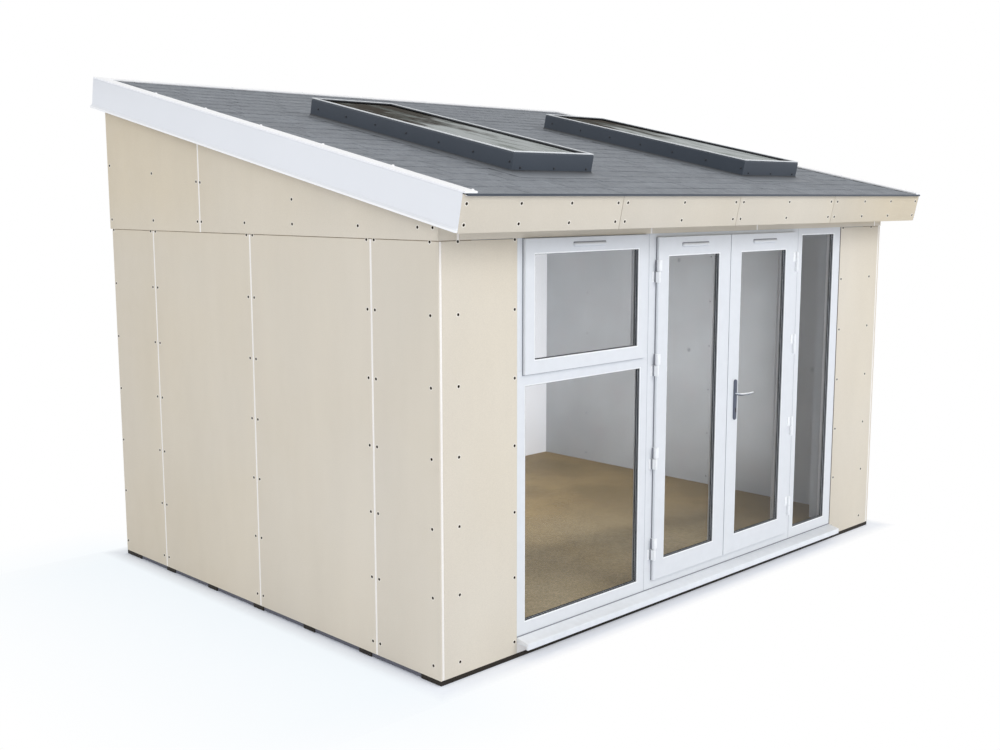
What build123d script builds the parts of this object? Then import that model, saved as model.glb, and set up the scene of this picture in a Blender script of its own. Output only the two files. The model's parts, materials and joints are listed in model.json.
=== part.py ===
from build123d import *

import os
from math import cos, radians, tan

# Garden office pod with a single-slope roof, clad in smooth boards, glazed along its front.
# Millimetres. Working frame while modelling: X from the left cladding face to the right,
# Y from the front cladding face to the back, Z up from the ground. put() moves each piece so
# that the finished part has its origin on the ground at the centre of the footprint.

# ---------------------------------------------------------------- overall sizes
width = 4000.0
depth = 3018.0
pitch = 12.0
eave_height = 2286.0
overhang_front = 227.0
overhang_left = 60.0
overhang_right = 90.0
overhang_back = 37.0

# ---------------------------------------------------------------- base and floor
bearer_height = 40.0
bearer_front_width = 145.0
bearer_back_width = 180.0
bearer_mid_width = 98.0
bearer_spacing = 476.0
bearer_first = 522.0
floor_panel_height = 66.0
floor_board_t = 18.0

# ---------------------------------------------------------------- walls
cladding_t = 8.0
lining_t = 12.0
front_wall_t = 150.0
side_wall_t = 225.0
back_wall_t = 158.0
cladding_base = 24.0
cladding_joint = 2076.0
joint_gap = 3.0
upper_proud = 3.0
upper_proud_back = 19.0
strip_width = 15.0
strip_recess = 1.5
side_first_panel = 477.0
side_panel = 1020.0
gable_panel = 1985.0
back_panel = 1000.0
band_middle_panel = 1000.0
band_end_panel = 100.0
band_shift = 20.0

# ---------------------------------------------------------------- roof
covering_t = 6.0
roof_panel_t = 140.0
ceiling_t = 12.0
eave_board_t = 12.0
eave_board_depth = 177.0
barge_t = 18.0
barge_depth = 174.0
barge_skin = 3.0
barge_lip_reach = 14.0
barge_lip_edge = 7.0
barge_lip_height = 20.0
edge_trim_width = 77.0
back_trim_width = 66.0
edge_trim_t = 10.0
soffit_t = 10.0
drip = 14.0
fascia_panel = 997.0
fascia_first = 1020.0

# ---------------------------------------------------------------- roof windows
skylight_x = (700.0, 2700.0)
skylight_width = 600.0
skylight_length = 1695.0
skylight_start = 475.0
kerb_height = 110.0
kerb_wall = 48.0
kerb_rebate = 16.0
skylight_glass_t = 20.0
skylight_glass_drop = 4.0
flashing_spread = 42.0
flashing_rise = 33.0

# ---------------------------------------------------------------- glazed front
left_pier = 504.0
window_width = 1002.0
door_width = 1472.0
sidelight_width = 504.0
frame_depth = 70.0
sill_t = 32.0
sill_reach = 77.0
sill_nose = 33.0
sill_fall = 16.0
glass_t = 24.0
glass_setback = 6.0

window_jamb = 60.0
window_foot = 70.0
window_head = 24.0
transom_low = 1361.0
transom_high = 1440.0

sash_overlap = 22.0
sash_face_t = 18.0
sash_member = 70.0
sash_head = 76.0
sash_clear = 5.0
sash_depth = 52.0

door_jamb = 74.0
door_head = 34.0
door_foot = 62.0
leaf_lap = 15.0
leaf_face_t = 15.0
leaf_air = 5.0
leaf_body_depth = 55.0
leaf_body_clear = 6.0
leaf_gap = 6.0
leaf_free_setback = 9.0
leaf_split = 728.0
left_leaf_stiles = (94.0, 107.0)
right_leaf_stiles = (109.0, 103.0)
leaf_foot = 112.0
leaf_head = 105.0
stop_t = 12.0
stop_width = 14.0

sidelight_jamb = 54.0
sidelight_outer_jamb = 78.0
sidelight_foot = 68.0
sidelight_head = 42.0

# ---------------------------------------------------------------- door furniture
hinge_height = 122.0
hinge_radius = 8.0
hinge_pin_radius = 4.0
hinge_play = 0.3
hinge_proud = 10.0
hinge_offset = 7.5
hinge_plate_width = 26.0
hinge_plate_t = 3.0
hinge_levels = (1875.0, 1368.0, 851.0, 338.0)

handle_inset = 71.0
handle_level = 1127.0
plate_length = 240.0
plate_width = 28.0
plate_t = 10.0
plate_below = 156.0
spindle_radius = 4.5
spindle_hole_radius = 7.0
neck_radius = 9.0
neck_hole_radius = 11.0
neck_length = 48.0
neck_play = 0.3
lever_length = 132.0
lever_height = 17.0
lever_t = 13.0

vent_width = 245.0
vent_height = 20.0
vent_t = 12.0
vent_from_top = 38.0

# ---------------------------------------------------------------- derived places
wall_foot = bearer_height
floor_low = bearer_height + floor_panel_height
floor_top = floor_low + floor_board_t
frame_foot = floor_low
frame_top = cladding_joint
sill_under = frame_foot - sill_t

window_x0 = left_pier
window_x1 = window_x0 + window_width
door_x0 = window_x1
door_x1 = door_x0 + door_width
side_x0 = door_x1
side_x1 = side_x0 + sidelight_width

wall_in_left = side_wall_t - lining_t
wall_in_right = width - side_wall_t + lining_t
wall_in_front = front_wall_t - lining_t
wall_in_back = depth - back_wall_t + lining_t

slope = tan(radians(pitch))
run = cos(radians(pitch))
roof_length = (depth + overhang_front + overhang_back) / run
panel_top = -covering_t
panel_under = panel_top - roof_panel_t


def roof_z(y, n):
    """Height at depth y of the plane that lies n above the roof surface, square to it."""
    return eave_height + (y + overhang_front) * slope + n / run


def block(x0, x1, y0, y1, z0, z1):
    """Upright box between the given faces."""
    return Pos(x0, y0, z0) * Box(x1 - x0, y1 - y0, z1 - z0, align=(Align.MIN, Align.MIN, Align.MIN))


def roof_block(x0, x1, s0, s1, n0, n1):
    """Box lying on the slope: s runs up the slope from the eave, n stands square to it."""
    body = Pos(x0, s0, n0) * Box(x1 - x0, s1 - s0, n1 - n0, align=(Align.MIN, Align.MIN, Align.MIN))
    return Pos(0, -overhang_front, eave_height) * Rot(pitch, 0, 0) * body


def bar_along_x(x0, x1, points):
    """Prism along X with the given outline in Y and Z."""
    outline = make_face(Polyline(*[(x0, y, z) for y, z in points], close=True))
    return extrude(outline, amount=x1 - x0, dir=(1, 0, 0))


def under_roof(x0, x1, y0, y1, z0, n=panel_under):
    """Upright piece whose top follows the underside of the roof."""
    return bar_along_x(x0, x1, [(y0, z0), (y1, z0), (y1, roof_z(y1, n)), (y0, roof_z(y0, n))])


def rod(x, y, z0, z1, radius):
    """Upright round bar."""
    return Pos(x, y, z0) * Cylinder(radius, z1 - z0, align=(Align.CENTER, Align.CENTER, Align.MIN))


def rod_y(x, z, y0, y1, radius):
    """Round bar running front to back."""
    bar = Cylinder(radius, y1 - y0, align=(Align.CENTER, Align.CENTER, Align.MIN))
    return Pos(x, y0, z) * Rot(-90, 0, 0) * bar


def even_joints(start, stop, first, step):
    """Joints between boards: after the first board and after each further step."""
    joints = []
    place = first
    while place < stop - 60.0:
        if place > start + 60.0:
            joints.append(place)
        place = place + step
    return joints


def spans_between(start, stop, joints, gap):
    """Spans of the boards between two ends, with a gap at each joint."""
    edges = [start] + joints + [stop]
    spans = []
    for i in range(len(edges) - 1):
        low = edges[i] + (gap / 2 if i > 0 else 0)
        high = edges[i + 1] - (gap / 2 if i < len(edges) - 2 else 0)
        spans.append((low, high))
    return spans


def put(node, *shapes):
    """Write the solids of one sub-part, moved to the part's own origin."""
    solids = [solid for shape in shapes for solid in shape.solids()]
    moved = [Pos(-width / 2, -depth / 2, 0) * solid for solid in solids]
    whole = moved[0] if len(moved) == 1 else Compound(moved)
    export_step(whole, f"parts/{node}.step")


def window_ring(x0, x1, z0, z1, y0, y1, left, right, foot, head):
    """Rectangular frame with its four faces of the given widths."""
    outer = block(x0, x1, y0, y1, z0, z1)
    return outer - block(x0 + left, x1 - right, y0 - 1, y1 + 1, z0 + foot, z1 - head)


os.makedirs("parts", exist_ok=True)

# ================================================================ base and floor
bearer_rows = [(0.0, bearer_front_width)]
back_bearer = depth - bearer_back_width
place = bearer_first
while place + bearer_mid_width < back_bearer - 60.0:
    bearer_rows.append((place, place + bearer_mid_width))
    place = place + bearer_spacing
bearer_rows.append((back_bearer, depth))
bearers = []
for y0, y1 in bearer_rows:
    seat_y0, seat_y1 = max(y0, cladding_t), min(y1, depth - cladding_t)
    foot = block(0, width, y0, y1, 0, cladding_base)
    bearers.append(foot + block(cladding_t, width - cladding_t, seat_y0, seat_y1, cladding_base, bearer_height))
put("ground_bearers", *bearers)

put("floor_panel", block(wall_in_left, wall_in_right, wall_in_front, wall_in_back, bearer_height, floor_low))
floor_main = block(wall_in_left, wall_in_right, wall_in_front, wall_in_back, floor_low, floor_top)
floor_tongue = block(window_x0, side_x1, frame_depth, wall_in_front, floor_low, floor_top)
put("floor_board", floor_main + floor_tongue)
threshold = block(window_x0, side_x1, 0, wall_in_front, wall_foot, sill_under)
put("threshold_beam", threshold + block(window_x0, side_x1, 0, cladding_t, cladding_base, wall_foot))

# ================================================================ walls
put("left_wall", under_roof(cladding_t, wall_in_left, cladding_t, depth - cladding_t, wall_foot))
put("right_wall", under_roof(width - wall_in_left, width - cladding_t, cladding_t, depth - cladding_t, wall_foot))
put("back_wall", under_roof(wall_in_left, wall_in_right, wall_in_back, depth - cladding_t, wall_foot))
put(
    "front_posts",
    block(wall_in_left, window_x0, cladding_t, wall_in_front, wall_foot, frame_top),
    block(side_x1, wall_in_right, cladding_t, wall_in_front, wall_foot, frame_top),
)
put("front_lintel", under_roof(wall_in_left, wall_in_right, cladding_t, wall_in_front, frame_top))

# ---------------------------------------------------------------- cladding boards
lower_top = cladding_joint - joint_gap
strips = []
end_low, end_high = cladding_t, width - cladding_t
side_joints = even_joints(0, depth, side_first_panel, side_panel)
side_spans = spans_between(0, depth, side_joints, strip_width)
gable_joints = even_joints(0, depth, gable_panel, gable_panel)
gable_spans = spans_between(-upper_proud, depth + upper_proud_back, gable_joints, strip_width)
for name, low_x, high_x, proud_low, proud_high in (
    ("left_cladding", 0.0, cladding_t, upper_proud, 0.0),
    ("right_cladding", width - cladding_t, width, 0.0, upper_proud),
):
    boards = [block(low_x, high_x, y0, y1, cladding_base, lower_top) for y0, y1 in side_spans]
    for y0, y1 in gable_spans:
        boards.append(under_roof(low_x - proud_low, high_x + proud_high, y0, y1, cladding_joint))
    put(name, *boards)
for joint in side_joints:
    low_y, high_y = joint - strip_width / 2, joint + strip_width / 2
    strips.append(block(strip_recess, cladding_t, low_y, high_y, cladding_base, lower_top))
    strips.append(block(width - cladding_t, width - strip_recess, low_y, high_y, cladding_base, lower_top))
for joint in gable_joints:
    low_y, high_y = joint - strip_width / 2, joint + strip_width / 2
    strips.append(under_roof(strip_recess - upper_proud, cladding_t, low_y, high_y, cladding_joint))
    strips.append(under_roof(width - cladding_t, width + upper_proud - strip_recess, low_y, high_y, cladding_joint))

back_low, back_high = end_low + strip_width, end_high - strip_width
back_joints = even_joints(back_low, back_high, back_panel, back_panel)
back_spans = spans_between(back_low, back_high, back_joints, strip_width)
back_band_spans = spans_between(end_low, end_high, back_joints, strip_width)
back_boards = []
for x0, x1 in back_spans:
    back_boards.append(block(x0, x1, depth - cladding_t, depth, cladding_base, lower_top))
for x0, x1 in back_band_spans:
    back_boards.append(under_roof(x0, x1, depth - cladding_t, depth + upper_proud_back, cladding_joint))
put("back_cladding", *back_boards)
for joint in back_joints:
    low_x, high_x = joint - strip_width / 2, joint + strip_width / 2
    strips.append(block(low_x, high_x, depth - cladding_t, depth - strip_recess, cladding_base, lower_top))
    band_face = depth + upper_proud_back - strip_recess
    strips.append(under_roof(low_x, high_x, depth - cladding_t, band_face, cladding_joint))

band_centre = width / 2 + band_shift
band_joints = [
    band_end_panel + band_shift,
    band_centre - band_middle_panel / 2,
    band_centre + band_middle_panel / 2,
    width - band_end_panel + band_shift,
]
band_spans = spans_between(end_low, end_high, band_joints, strip_width)
front_boards = [
    block(end_low + strip_width, window_x0, 0, cladding_t, cladding_base, lower_top),
    block(side_x1, end_high - strip_width, 0, cladding_t, cladding_base, lower_top),
]
for x0, x1 in band_spans:
    front_boards.append(under_roof(x0, x1, -upper_proud, cladding_t, cladding_joint))
put("front_cladding", *front_boards)
for joint in band_joints:
    low_x, high_x = joint - strip_width / 2, joint + strip_width / 2
    strips.append(under_roof(low_x, high_x, strip_recess - upper_proud, cladding_t, cladding_joint))
put("joint_strips", *strips)

corners = []
for x0 in (end_low, end_high - strip_width):
    corners.append(block(x0, x0 + strip_width, strip_recess, cladding_t, cladding_base, lower_top))
    corners.append(block(x0, x0 + strip_width, depth - cladding_t, depth - strip_recess, cladding_base, lower_top))
put("corner_trims", *corners)

# ---------------------------------------------------------------- inner linings
ceiling_under = panel_under - ceiling_t
inner_left = side_wall_t
inner_right = width - side_wall_t
linings = [
    under_roof(wall_in_left, inner_left, wall_in_front, wall_in_back, floor_top),
    under_roof(inner_right, wall_in_right, wall_in_front, wall_in_back, floor_top),
    under_roof(inner_left, inner_right, wall_in_back - lining_t, wall_in_back, floor_top),
    block(inner_left, window_x0, wall_in_front, front_wall_t, floor_top, frame_top),
    block(side_x1, inner_right, wall_in_front, front_wall_t, floor_top, frame_top),
    under_roof(inner_left, inner_right, wall_in_front, front_wall_t, frame_top),
]
front_lining = linings[3] + linings[4] + linings[5]
put("wall_linings", linings[0] + linings[1] + linings[2] + front_lining)

# ================================================================ roof
roof_x0 = -overhang_left + barge_t
roof_x1 = width + overhang_right - barge_t
sky_spans = []
for x0 in skylight_x:
    sky_spans.append((x0 + kerb_wall, x0 + skylight_width - kerb_wall))
well_s0 = skylight_start + kerb_wall
well_s1 = skylight_start + skylight_length - kerb_wall

panel_edges = [roof_x0, sky_spans[0][0], sky_spans[0][1], sky_spans[1][0], sky_spans[1][1], roof_x1]
panel_s0 = eave_board_t
panel_s1 = roof_length - eave_board_t
long_panels = []
short_panels = []
for i in (0, 2, 4):
    long_panels.append(roof_block(panel_edges[i], panel_edges[i + 1], panel_s0, panel_s1, panel_under, panel_top))
for x0, x1 in sky_spans:
    short_panels.append(roof_block(x0, x1, panel_s0, well_s0, panel_under, panel_top))
    short_panels.append(roof_block(x0, x1, well_s1, panel_s1, panel_under, panel_top))
put("roof_panels_long", *long_panels)
put("roof_panels_short", *short_panels)

covering = roof_block(roof_x0, roof_x1, -drip, roof_length, panel_top, 0)
inner_s0 = (front_wall_t + overhang_front) / run + panel_under * slope
inner_s1 = (depth - back_wall_t + overhang_front) / run + ceiling_under * slope
ceiling = roof_block(inner_left, inner_right, inner_s0, inner_s1, ceiling_under, panel_under)
for x0, x1 in sky_spans:
    covering = covering - roof_block(x0, x1, well_s0, well_s1, panel_top - 1, 1)
    ceiling = ceiling - roof_block(x0, x1, well_s0, well_s1, ceiling_under - 1, panel_under + 1)
put("roof_covering", covering)
put("ceiling_lining", ceiling)

barges = []
for inner, out in ((roof_x0, -1), (roof_x1, 1)):
    face = inner + out * barge_t
    outline = [
        (inner, 0),
        (face, 0),
        (face, barge_lip_height - barge_depth),
        (face + out * barge_lip_reach, barge_lip_edge - barge_depth),
        (face + out * barge_lip_reach, -barge_depth),
        (inner, -barge_depth),
    ]
    end = make_face(Polyline(*[(x, 0, n) for x, n in outline], close=True))
    board = extrude(end, amount=roof_length, dir=(0, 1, 0))
    rebate = sorted((inner - out, face - out * barge_skin))
    board = board - Pos(rebate[0], -1, -barge_depth - 1) * Box(
        rebate[1] - rebate[0], eave_board_t + 1, barge_depth + 2, align=(Align.MIN, Align.MIN, Align.MIN)
    )
    barges.append(Pos(0, -overhang_front, eave_height) * Rot(pitch, 0, 0) * board)
put("bargeboards", *barges)
trim_x0 = -overhang_left + edge_trim_width
trim_x1 = width + overhang_right - edge_trim_width
trim_left = roof_block(-overhang_left, trim_x0, -drip, roof_length, 0, edge_trim_t)
trim_right = roof_block(trim_x1, width + overhang_right, -drip, roof_length, 0, edge_trim_t)
trim_back = roof_block(trim_x0, trim_x1, roof_length - back_trim_width, roof_length, 0, edge_trim_t)
put("roof_edge_trims", trim_left, trim_right, trim_back)

fascia_x0 = -overhang_left + barge_skin
fascia_x1 = width + overhang_right - barge_skin
fascia_joints = even_joints(fascia_x0, fascia_x1 - fascia_panel / 2, fascia_first, fascia_panel)
fascia_spans = spans_between(fascia_x0, fascia_x1, fascia_joints, joint_gap)
fascia = []
for x0, x1 in fascia_spans:
    fascia.append(roof_block(x0, x1, 0, eave_board_t, -eave_board_depth, panel_top))
put("fascia_boards", *fascia)
put("back_eave_board", roof_block(roof_x0, roof_x1, panel_s1, roof_length, -eave_board_depth, panel_top))
soffit_s1 = (overhang_front - upper_proud) / run + (panel_under - soffit_t) * slope
put("front_soffit", roof_block(roof_x0, roof_x1, eave_board_t, soffit_s1, panel_under - soffit_t, panel_under))

# ---------------------------------------------------------------- roof windows
glass_top = kerb_height - skylight_glass_drop
sky_glass = []
sky_skirts = []
for name, x0 in zip(("left", "right"), skylight_x):
    x1 = x0 + skylight_width
    s0 = skylight_start
    s1 = s0 + skylight_length
    kerb = roof_block(x0, x1, s0, s1, 0, kerb_height)
    kerb = kerb - roof_block(x0 + kerb_wall, x1 - kerb_wall, well_s0, well_s1, -1, kerb_height + 1)
    seat_x0 = x0 + kerb_wall - kerb_rebate
    seat_x1 = x1 - kerb_wall + kerb_rebate
    seat_s0 = well_s0 - kerb_rebate
    seat_s1 = well_s1 + kerb_rebate
    seat_n = glass_top - skylight_glass_t
    kerb = kerb - roof_block(seat_x0, seat_x1, seat_s0, seat_s1, seat_n, kerb_height + 1)
    put(f"skylight_{name}_frame", kerb)
    sky_glass.append(roof_block(seat_x0, seat_x1, seat_s0, seat_s1, seat_n, glass_top))
    skirt_foot = Rectangle(skylight_width + 2 * flashing_spread, skylight_length + 2 * flashing_spread)
    skirt_top = Pos(0, 0, flashing_rise) * Rectangle(skylight_width + 2, skylight_length + 2)
    skirt = loft([skirt_foot, skirt_top])
    skirt = skirt - Box(skylight_width, skylight_length, 4 * flashing_rise)
    skirt = Pos((x0 + x1) / 2, (s0 + s1) / 2, 0) * skirt
    sky_skirts.append(Pos(0, -overhang_front, eave_height) * Rot(pitch, 0, 0) * skirt)
put("skylight_glass", *sky_glass)
put("skylight_flashings", *sky_skirts)

# ================================================================ sill and fixed frames
sill_outline = [
    (0, frame_foot),
    (-sill_reach, frame_foot - sill_fall),
    (-sill_reach, frame_foot - sill_fall - sill_nose),
    (-sill_reach + 12, frame_foot - sill_fall - sill_nose),
    (-sill_reach + 12, sill_under),
    (wall_in_front, sill_under),
    (wall_in_front, frame_foot),
]
sill_back = [(y if y < wall_in_front else frame_depth, z) for y, z in sill_outline]
put("sill", bar_along_x(window_x0, side_x1, sill_back))
put("inner_threshold", block(window_x0, side_x1, frame_depth, wall_in_front, sill_under, floor_low))

glass_y0 = glass_setback
glass_y1 = glass_setback + glass_t

window = block(window_x0, window_x1, 0, frame_depth, frame_foot, frame_top)
pane_x0 = window_x0 + window_jamb
pane_x1 = window_x1 - window_jamb
window = window - block(pane_x0, pane_x1, -1, frame_depth + 1, frame_foot + window_foot, transom_low)
window = window - block(pane_x0, pane_x1, -1, frame_depth + 1, transom_high, frame_top - window_head)
put("window_frame", window)

sash_x0 = pane_x0 - sash_overlap
sash_x1 = pane_x1 + sash_overlap
sash_z0 = transom_high - sash_overlap
sash_z1 = frame_top - window_head + sash_overlap
sash = block(sash_x0, sash_x1, -sash_face_t, 0, sash_z0, sash_z1)
sash = sash + block(
    pane_x0 + sash_clear,
    pane_x1 - sash_clear,
    0,
    sash_depth,
    transom_high + sash_clear,
    frame_top - window_head - sash_clear,
)
sash_open = (sash_x0 + sash_member, sash_x1 - sash_member, sash_z0 + sash_member, sash_z1 - sash_head)
sash = sash - block(sash_open[0], sash_open[1], -sash_face_t - 1, sash_depth + 1, sash_open[2], sash_open[3])
put("window_sash", sash)
put(
    "window_glass",
    block(pane_x0, pane_x1, glass_y0, glass_y1, frame_foot + window_foot, transom_low),
    block(
        sash_open[0],
        sash_open[1],
        glass_y0 - sash_face_t,
        glass_y1 - sash_face_t,
        sash_open[2],
        sash_open[3],
    ),
)
sash_mid = (sash_x0 + sash_x1) / 2
vent_z1 = sash_z1 - vent_from_top + vent_height / 2
put(
    "window_vent",
    block(
        sash_mid - vent_width / 2,
        sash_mid + vent_width / 2,
        -sash_face_t - vent_t,
        -sash_face_t,
        vent_z1 - vent_height,
        vent_z1,
    ),
)

put(
    "sidelight_frame",
    window_ring(
        side_x0,
        side_x1,
        frame_foot,
        frame_top,
        0,
        frame_depth,
        sidelight_jamb,
        sidelight_outer_jamb,
        sidelight_foot,
        sidelight_head,
    ),
)
put(
    "sidelight_glass",
    block(
        side_x0 + sidelight_jamb,
        side_x1 - sidelight_outer_jamb,
        glass_y0,
        glass_y1,
        frame_foot + sidelight_foot,
        frame_top - sidelight_head,
    ),
)

# ================================================================ double doors
put(
    "door_frame",
    window_ring(
        door_x0,
        door_x1,
        frame_foot,
        frame_top,
        0,
        frame_depth,
        door_jamb,
        door_jamb,
        door_foot,
        door_head,
    ),
)
open_x0 = door_x0 + door_jamb
open_x1 = door_x1 - door_jamb
open_z0 = frame_foot + door_foot
open_z1 = frame_top - door_head
stop_y0 = frame_depth
stop_y1 = frame_depth + stop_t
stops = [
    block(open_x0 - stop_width, open_x0 + stop_width, stop_y0, stop_y1, open_z0, open_z1),
    block(open_x1 - stop_width, open_x1 + stop_width, stop_y0, stop_y1, open_z0, open_z1),
    block(open_x0 - stop_width, open_x1 + stop_width, stop_y0, stop_y1, open_z1, open_z1 + stop_width),
]
put("door_stops", stops[0] + stops[1] + stops[2])

leaf_front = -leaf_air - leaf_face_t
leaf_back = -leaf_air + leaf_body_depth
leaf_x0 = open_x0 - leaf_lap
leaf_x1 = open_x1 + leaf_lap
leaf_z0 = open_z0 - leaf_lap + 6
leaf_z1 = open_z1 + leaf_lap
meet = door_x0 + leaf_split
pin_y = leaf_front - hinge_proud


def leaf_ring(x0, x1, body_x0, body_x1, stiles):
    """Door leaf: a thin face that laps the frame, and a body that stands inside it."""
    face = block(x0, x1, leaf_front, -leaf_air, leaf_z0, leaf_z1)
    body = block(body_x0, body_x1, -leaf_air, leaf_back, open_z0 + leaf_body_clear, open_z1 - leaf_body_clear)
    glass = (x0 + stiles[0], x1 - stiles[1], leaf_z0 + leaf_foot, leaf_z1 - leaf_head)
    hole = block(glass[0], glass[1], leaf_front - 1, leaf_back + 1, glass[2], glass[3])
    return face + body - hole, glass


left_edge = meet - leaf_gap / 2
right_edge = meet + leaf_gap / 2
left_leaf, left_pane = leaf_ring(
    leaf_x0, left_edge, open_x0 + leaf_body_clear, left_edge - leaf_free_setback, left_leaf_stiles
)
right_leaf, right_pane = leaf_ring(
    right_edge, leaf_x1, right_edge + leaf_free_setback, open_x1 - leaf_body_clear, right_leaf_stiles
)
handle_x = right_edge + handle_inset
right_leaf = right_leaf - rod_y(handle_x, handle_level, leaf_front - 1, leaf_back + 1, spindle_hole_radius)
put("left_door_leaf", left_leaf)
put("right_door_leaf", right_leaf)
leaf_glass_y0 = leaf_front + glass_setback
for name, pane in (("left_door_glass", left_pane), ("right_door_glass", right_pane)):
    put(name, block(pane[0], pane[1], leaf_glass_y0, leaf_glass_y0 + glass_t, pane[2], pane[3]))

leaf_vent_z1 = leaf_z1 - vent_from_top - vent_height
for name, x_mid in (
    ("left_door_vent", (left_pane[0] + left_pane[1]) / 2),
    ("right_door_vent", (right_pane[0] + right_pane[1]) / 2),
):
    put(
        name,
        block(
            x_mid - vent_width / 2,
            x_mid + vent_width / 2,
            leaf_front - vent_t,
            leaf_front,
            leaf_vent_z1,
            leaf_vent_z1 + vent_height,
        ),
    )

# ---------------------------------------------------------------- hinges
# Each hinge has a lower knuckle with its pin on the frame and an upper knuckle on the leaf.
pin_x_left = leaf_x0 - hinge_offset
pin_x_right = leaf_x1 + hinge_offset
frame_halves = []
leaf_halves = {"left": [], "right": []}
for side, pin_x, out in (("left", pin_x_left, -1), ("right", pin_x_right, 1)):
    for level in hinge_levels:
        foot = level - hinge_height / 2
        middle = level
        top = level + hinge_height / 2
        lower = rod(pin_x, pin_y, foot, middle - hinge_play, hinge_radius)
        lower = lower + rod(pin_x, pin_y, middle - 2, top - 6, hinge_pin_radius)
        arm_x = sorted((pin_x + out * hinge_radius, pin_x - out * (hinge_radius - 4)))
        lower = lower + block(arm_x[0], arm_x[1], pin_y, 0, foot, middle - hinge_play)
        wing_x = sorted((pin_x, pin_x + out * hinge_plate_width))
        lower = lower + block(wing_x[0], wing_x[1], -hinge_plate_t, 0, foot, middle - hinge_play)
        frame_halves.append(lower)
        upper = rod(pin_x, pin_y, middle + hinge_play, top, hinge_radius)
        reach_x = sorted((pin_x, pin_x - out * (hinge_offset + hinge_plate_width)))
        upper = upper + block(
            reach_x[0], reach_x[1], leaf_front - hinge_plate_t, leaf_front, middle + hinge_play, top
        )
        upper = upper - rod(pin_x, pin_y, middle - 5, top - 5, hinge_pin_radius + hinge_play)
        leaf_halves[side].append(upper)
put("frame_hinges", *frame_halves)
put("left_door_hinges", *leaf_halves["left"])
put("right_door_hinges", *leaf_halves["right"])

# ---------------------------------------------------------------- lever handle
plate_z0 = handle_level - plate_below
plates = []
for y0, y1 in ((leaf_front - plate_t, leaf_front), (leaf_back, leaf_back + plate_t)):
    plate = block(
        handle_x - plate_width / 2, handle_x + plate_width / 2, y0, y1, plate_z0, plate_z0 + plate_length
    )
    plates.append(plate - rod_y(handle_x, handle_level, y0 - 1, y1 + 1, neck_hole_radius))
put("handle_plates", *plates)

lever_out = leaf_front - plate_t - neck_length
lever_in = leaf_back + plate_t + neck_length
spindle = rod_y(handle_x, handle_level, leaf_front - plate_t - 2, leaf_back + plate_t + 2, spindle_radius)
handle = spindle + rod_y(handle_x, handle_level, lever_out, leaf_front - neck_play, neck_radius)
handle = handle + rod_y(handle_x, handle_level, leaf_back + neck_play, lever_in, neck_radius)
for y0, y1 in ((lever_out, lever_out + lever_t), (lever_in - lever_t, lever_in)):
    grip = block(
        handle_x,
        handle_x + lever_length,
        y0,
        y1,
        handle_level - lever_height / 2,
        handle_level + lever_height / 2,
    )
    handle = handle + grip
put("lever_handle", handle)

print("hinge axes", pin_x_left - width / 2, pin_x_right - width / 2, pin_y - depth / 2)
print("handle axis", handle_x - width / 2, handle_level, "roof length", roof_length)
print("room", inner_left - width / 2, inner_right - width / 2, front_wall_t - depth / 2, depth / 2 - back_wall_t)
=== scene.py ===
import json
import random
from math import cos, pi, radians, sin, tan

import bmesh
import bpy
from bpy.props import FloatProperty, FloatVectorProperty, IntProperty, PointerProperty
from mathutils import Matrix, Vector


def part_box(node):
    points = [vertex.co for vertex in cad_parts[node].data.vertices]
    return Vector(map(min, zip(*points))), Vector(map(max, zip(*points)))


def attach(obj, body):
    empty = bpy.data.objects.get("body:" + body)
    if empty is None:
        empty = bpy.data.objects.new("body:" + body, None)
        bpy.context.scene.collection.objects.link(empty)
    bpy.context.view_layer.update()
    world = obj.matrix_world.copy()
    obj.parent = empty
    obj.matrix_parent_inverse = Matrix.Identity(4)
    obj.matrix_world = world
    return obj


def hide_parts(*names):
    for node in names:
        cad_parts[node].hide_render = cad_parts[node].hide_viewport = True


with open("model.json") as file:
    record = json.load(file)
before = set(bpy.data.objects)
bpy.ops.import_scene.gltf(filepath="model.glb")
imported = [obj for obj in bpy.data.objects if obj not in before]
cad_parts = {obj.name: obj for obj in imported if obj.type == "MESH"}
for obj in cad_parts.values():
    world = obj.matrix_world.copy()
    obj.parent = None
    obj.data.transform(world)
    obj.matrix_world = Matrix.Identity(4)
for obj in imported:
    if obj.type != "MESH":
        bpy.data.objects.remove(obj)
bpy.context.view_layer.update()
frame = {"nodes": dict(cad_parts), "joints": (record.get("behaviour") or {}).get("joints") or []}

bl_info = {
    "name": "Garden Office Pod",
    "version": (1, 0, 0),
    "blender": (4, 5, 0),
    "location": "3D View > Sidebar > Pod",
    "description": "Finishes the boards, roof, glazing, doors and fixings of a garden office pod",
    "category": "Add Mesh",
}

# ================================================================ places read from the frame
PITCH = radians(12.0)
BARGE_DEPTH = 0.174
EAVE = Vector((0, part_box("bargeboards")[0].y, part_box("bargeboards")[0].z + BARGE_DEPTH * cos(PITCH)))
ROOF_LENGTH = (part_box("roof_covering")[1].y - EAVE.y) / cos(PITCH)
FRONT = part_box("window_frame")[0].y
LEFT_FACE, RIGHT_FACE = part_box("ground_bearers")[0].x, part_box("ground_bearers")[1].x
BACK_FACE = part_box("ground_bearers")[1].y
KERB_HEIGHT = 0.11
KERB_WALL = 0.048


def on_roof(x, s, n):
    """Point on the slope: s runs up from the eave, n stands square to the covering."""
    return Vector((x, EAVE.y + s * cos(PITCH) - n * sin(PITCH), EAVE.z + s * sin(PITCH) + n * cos(PITCH)))


def height_over_roof(point):
    """How far above the slope a point lies."""
    return (point.z - EAVE.z) * cos(PITCH) - (point.y - EAVE.y) * sin(PITCH)


def kerb_rect(name):
    """Outline of a rooflight kerb on the slope, as (left, right, lower, upper)."""
    low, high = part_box(name)
    start = (low.y - EAVE.y + KERB_HEIGHT * sin(PITCH)) / cos(PITCH)
    return low.x, high.x, start, (high.y - EAVE.y) / cos(PITCH)


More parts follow.
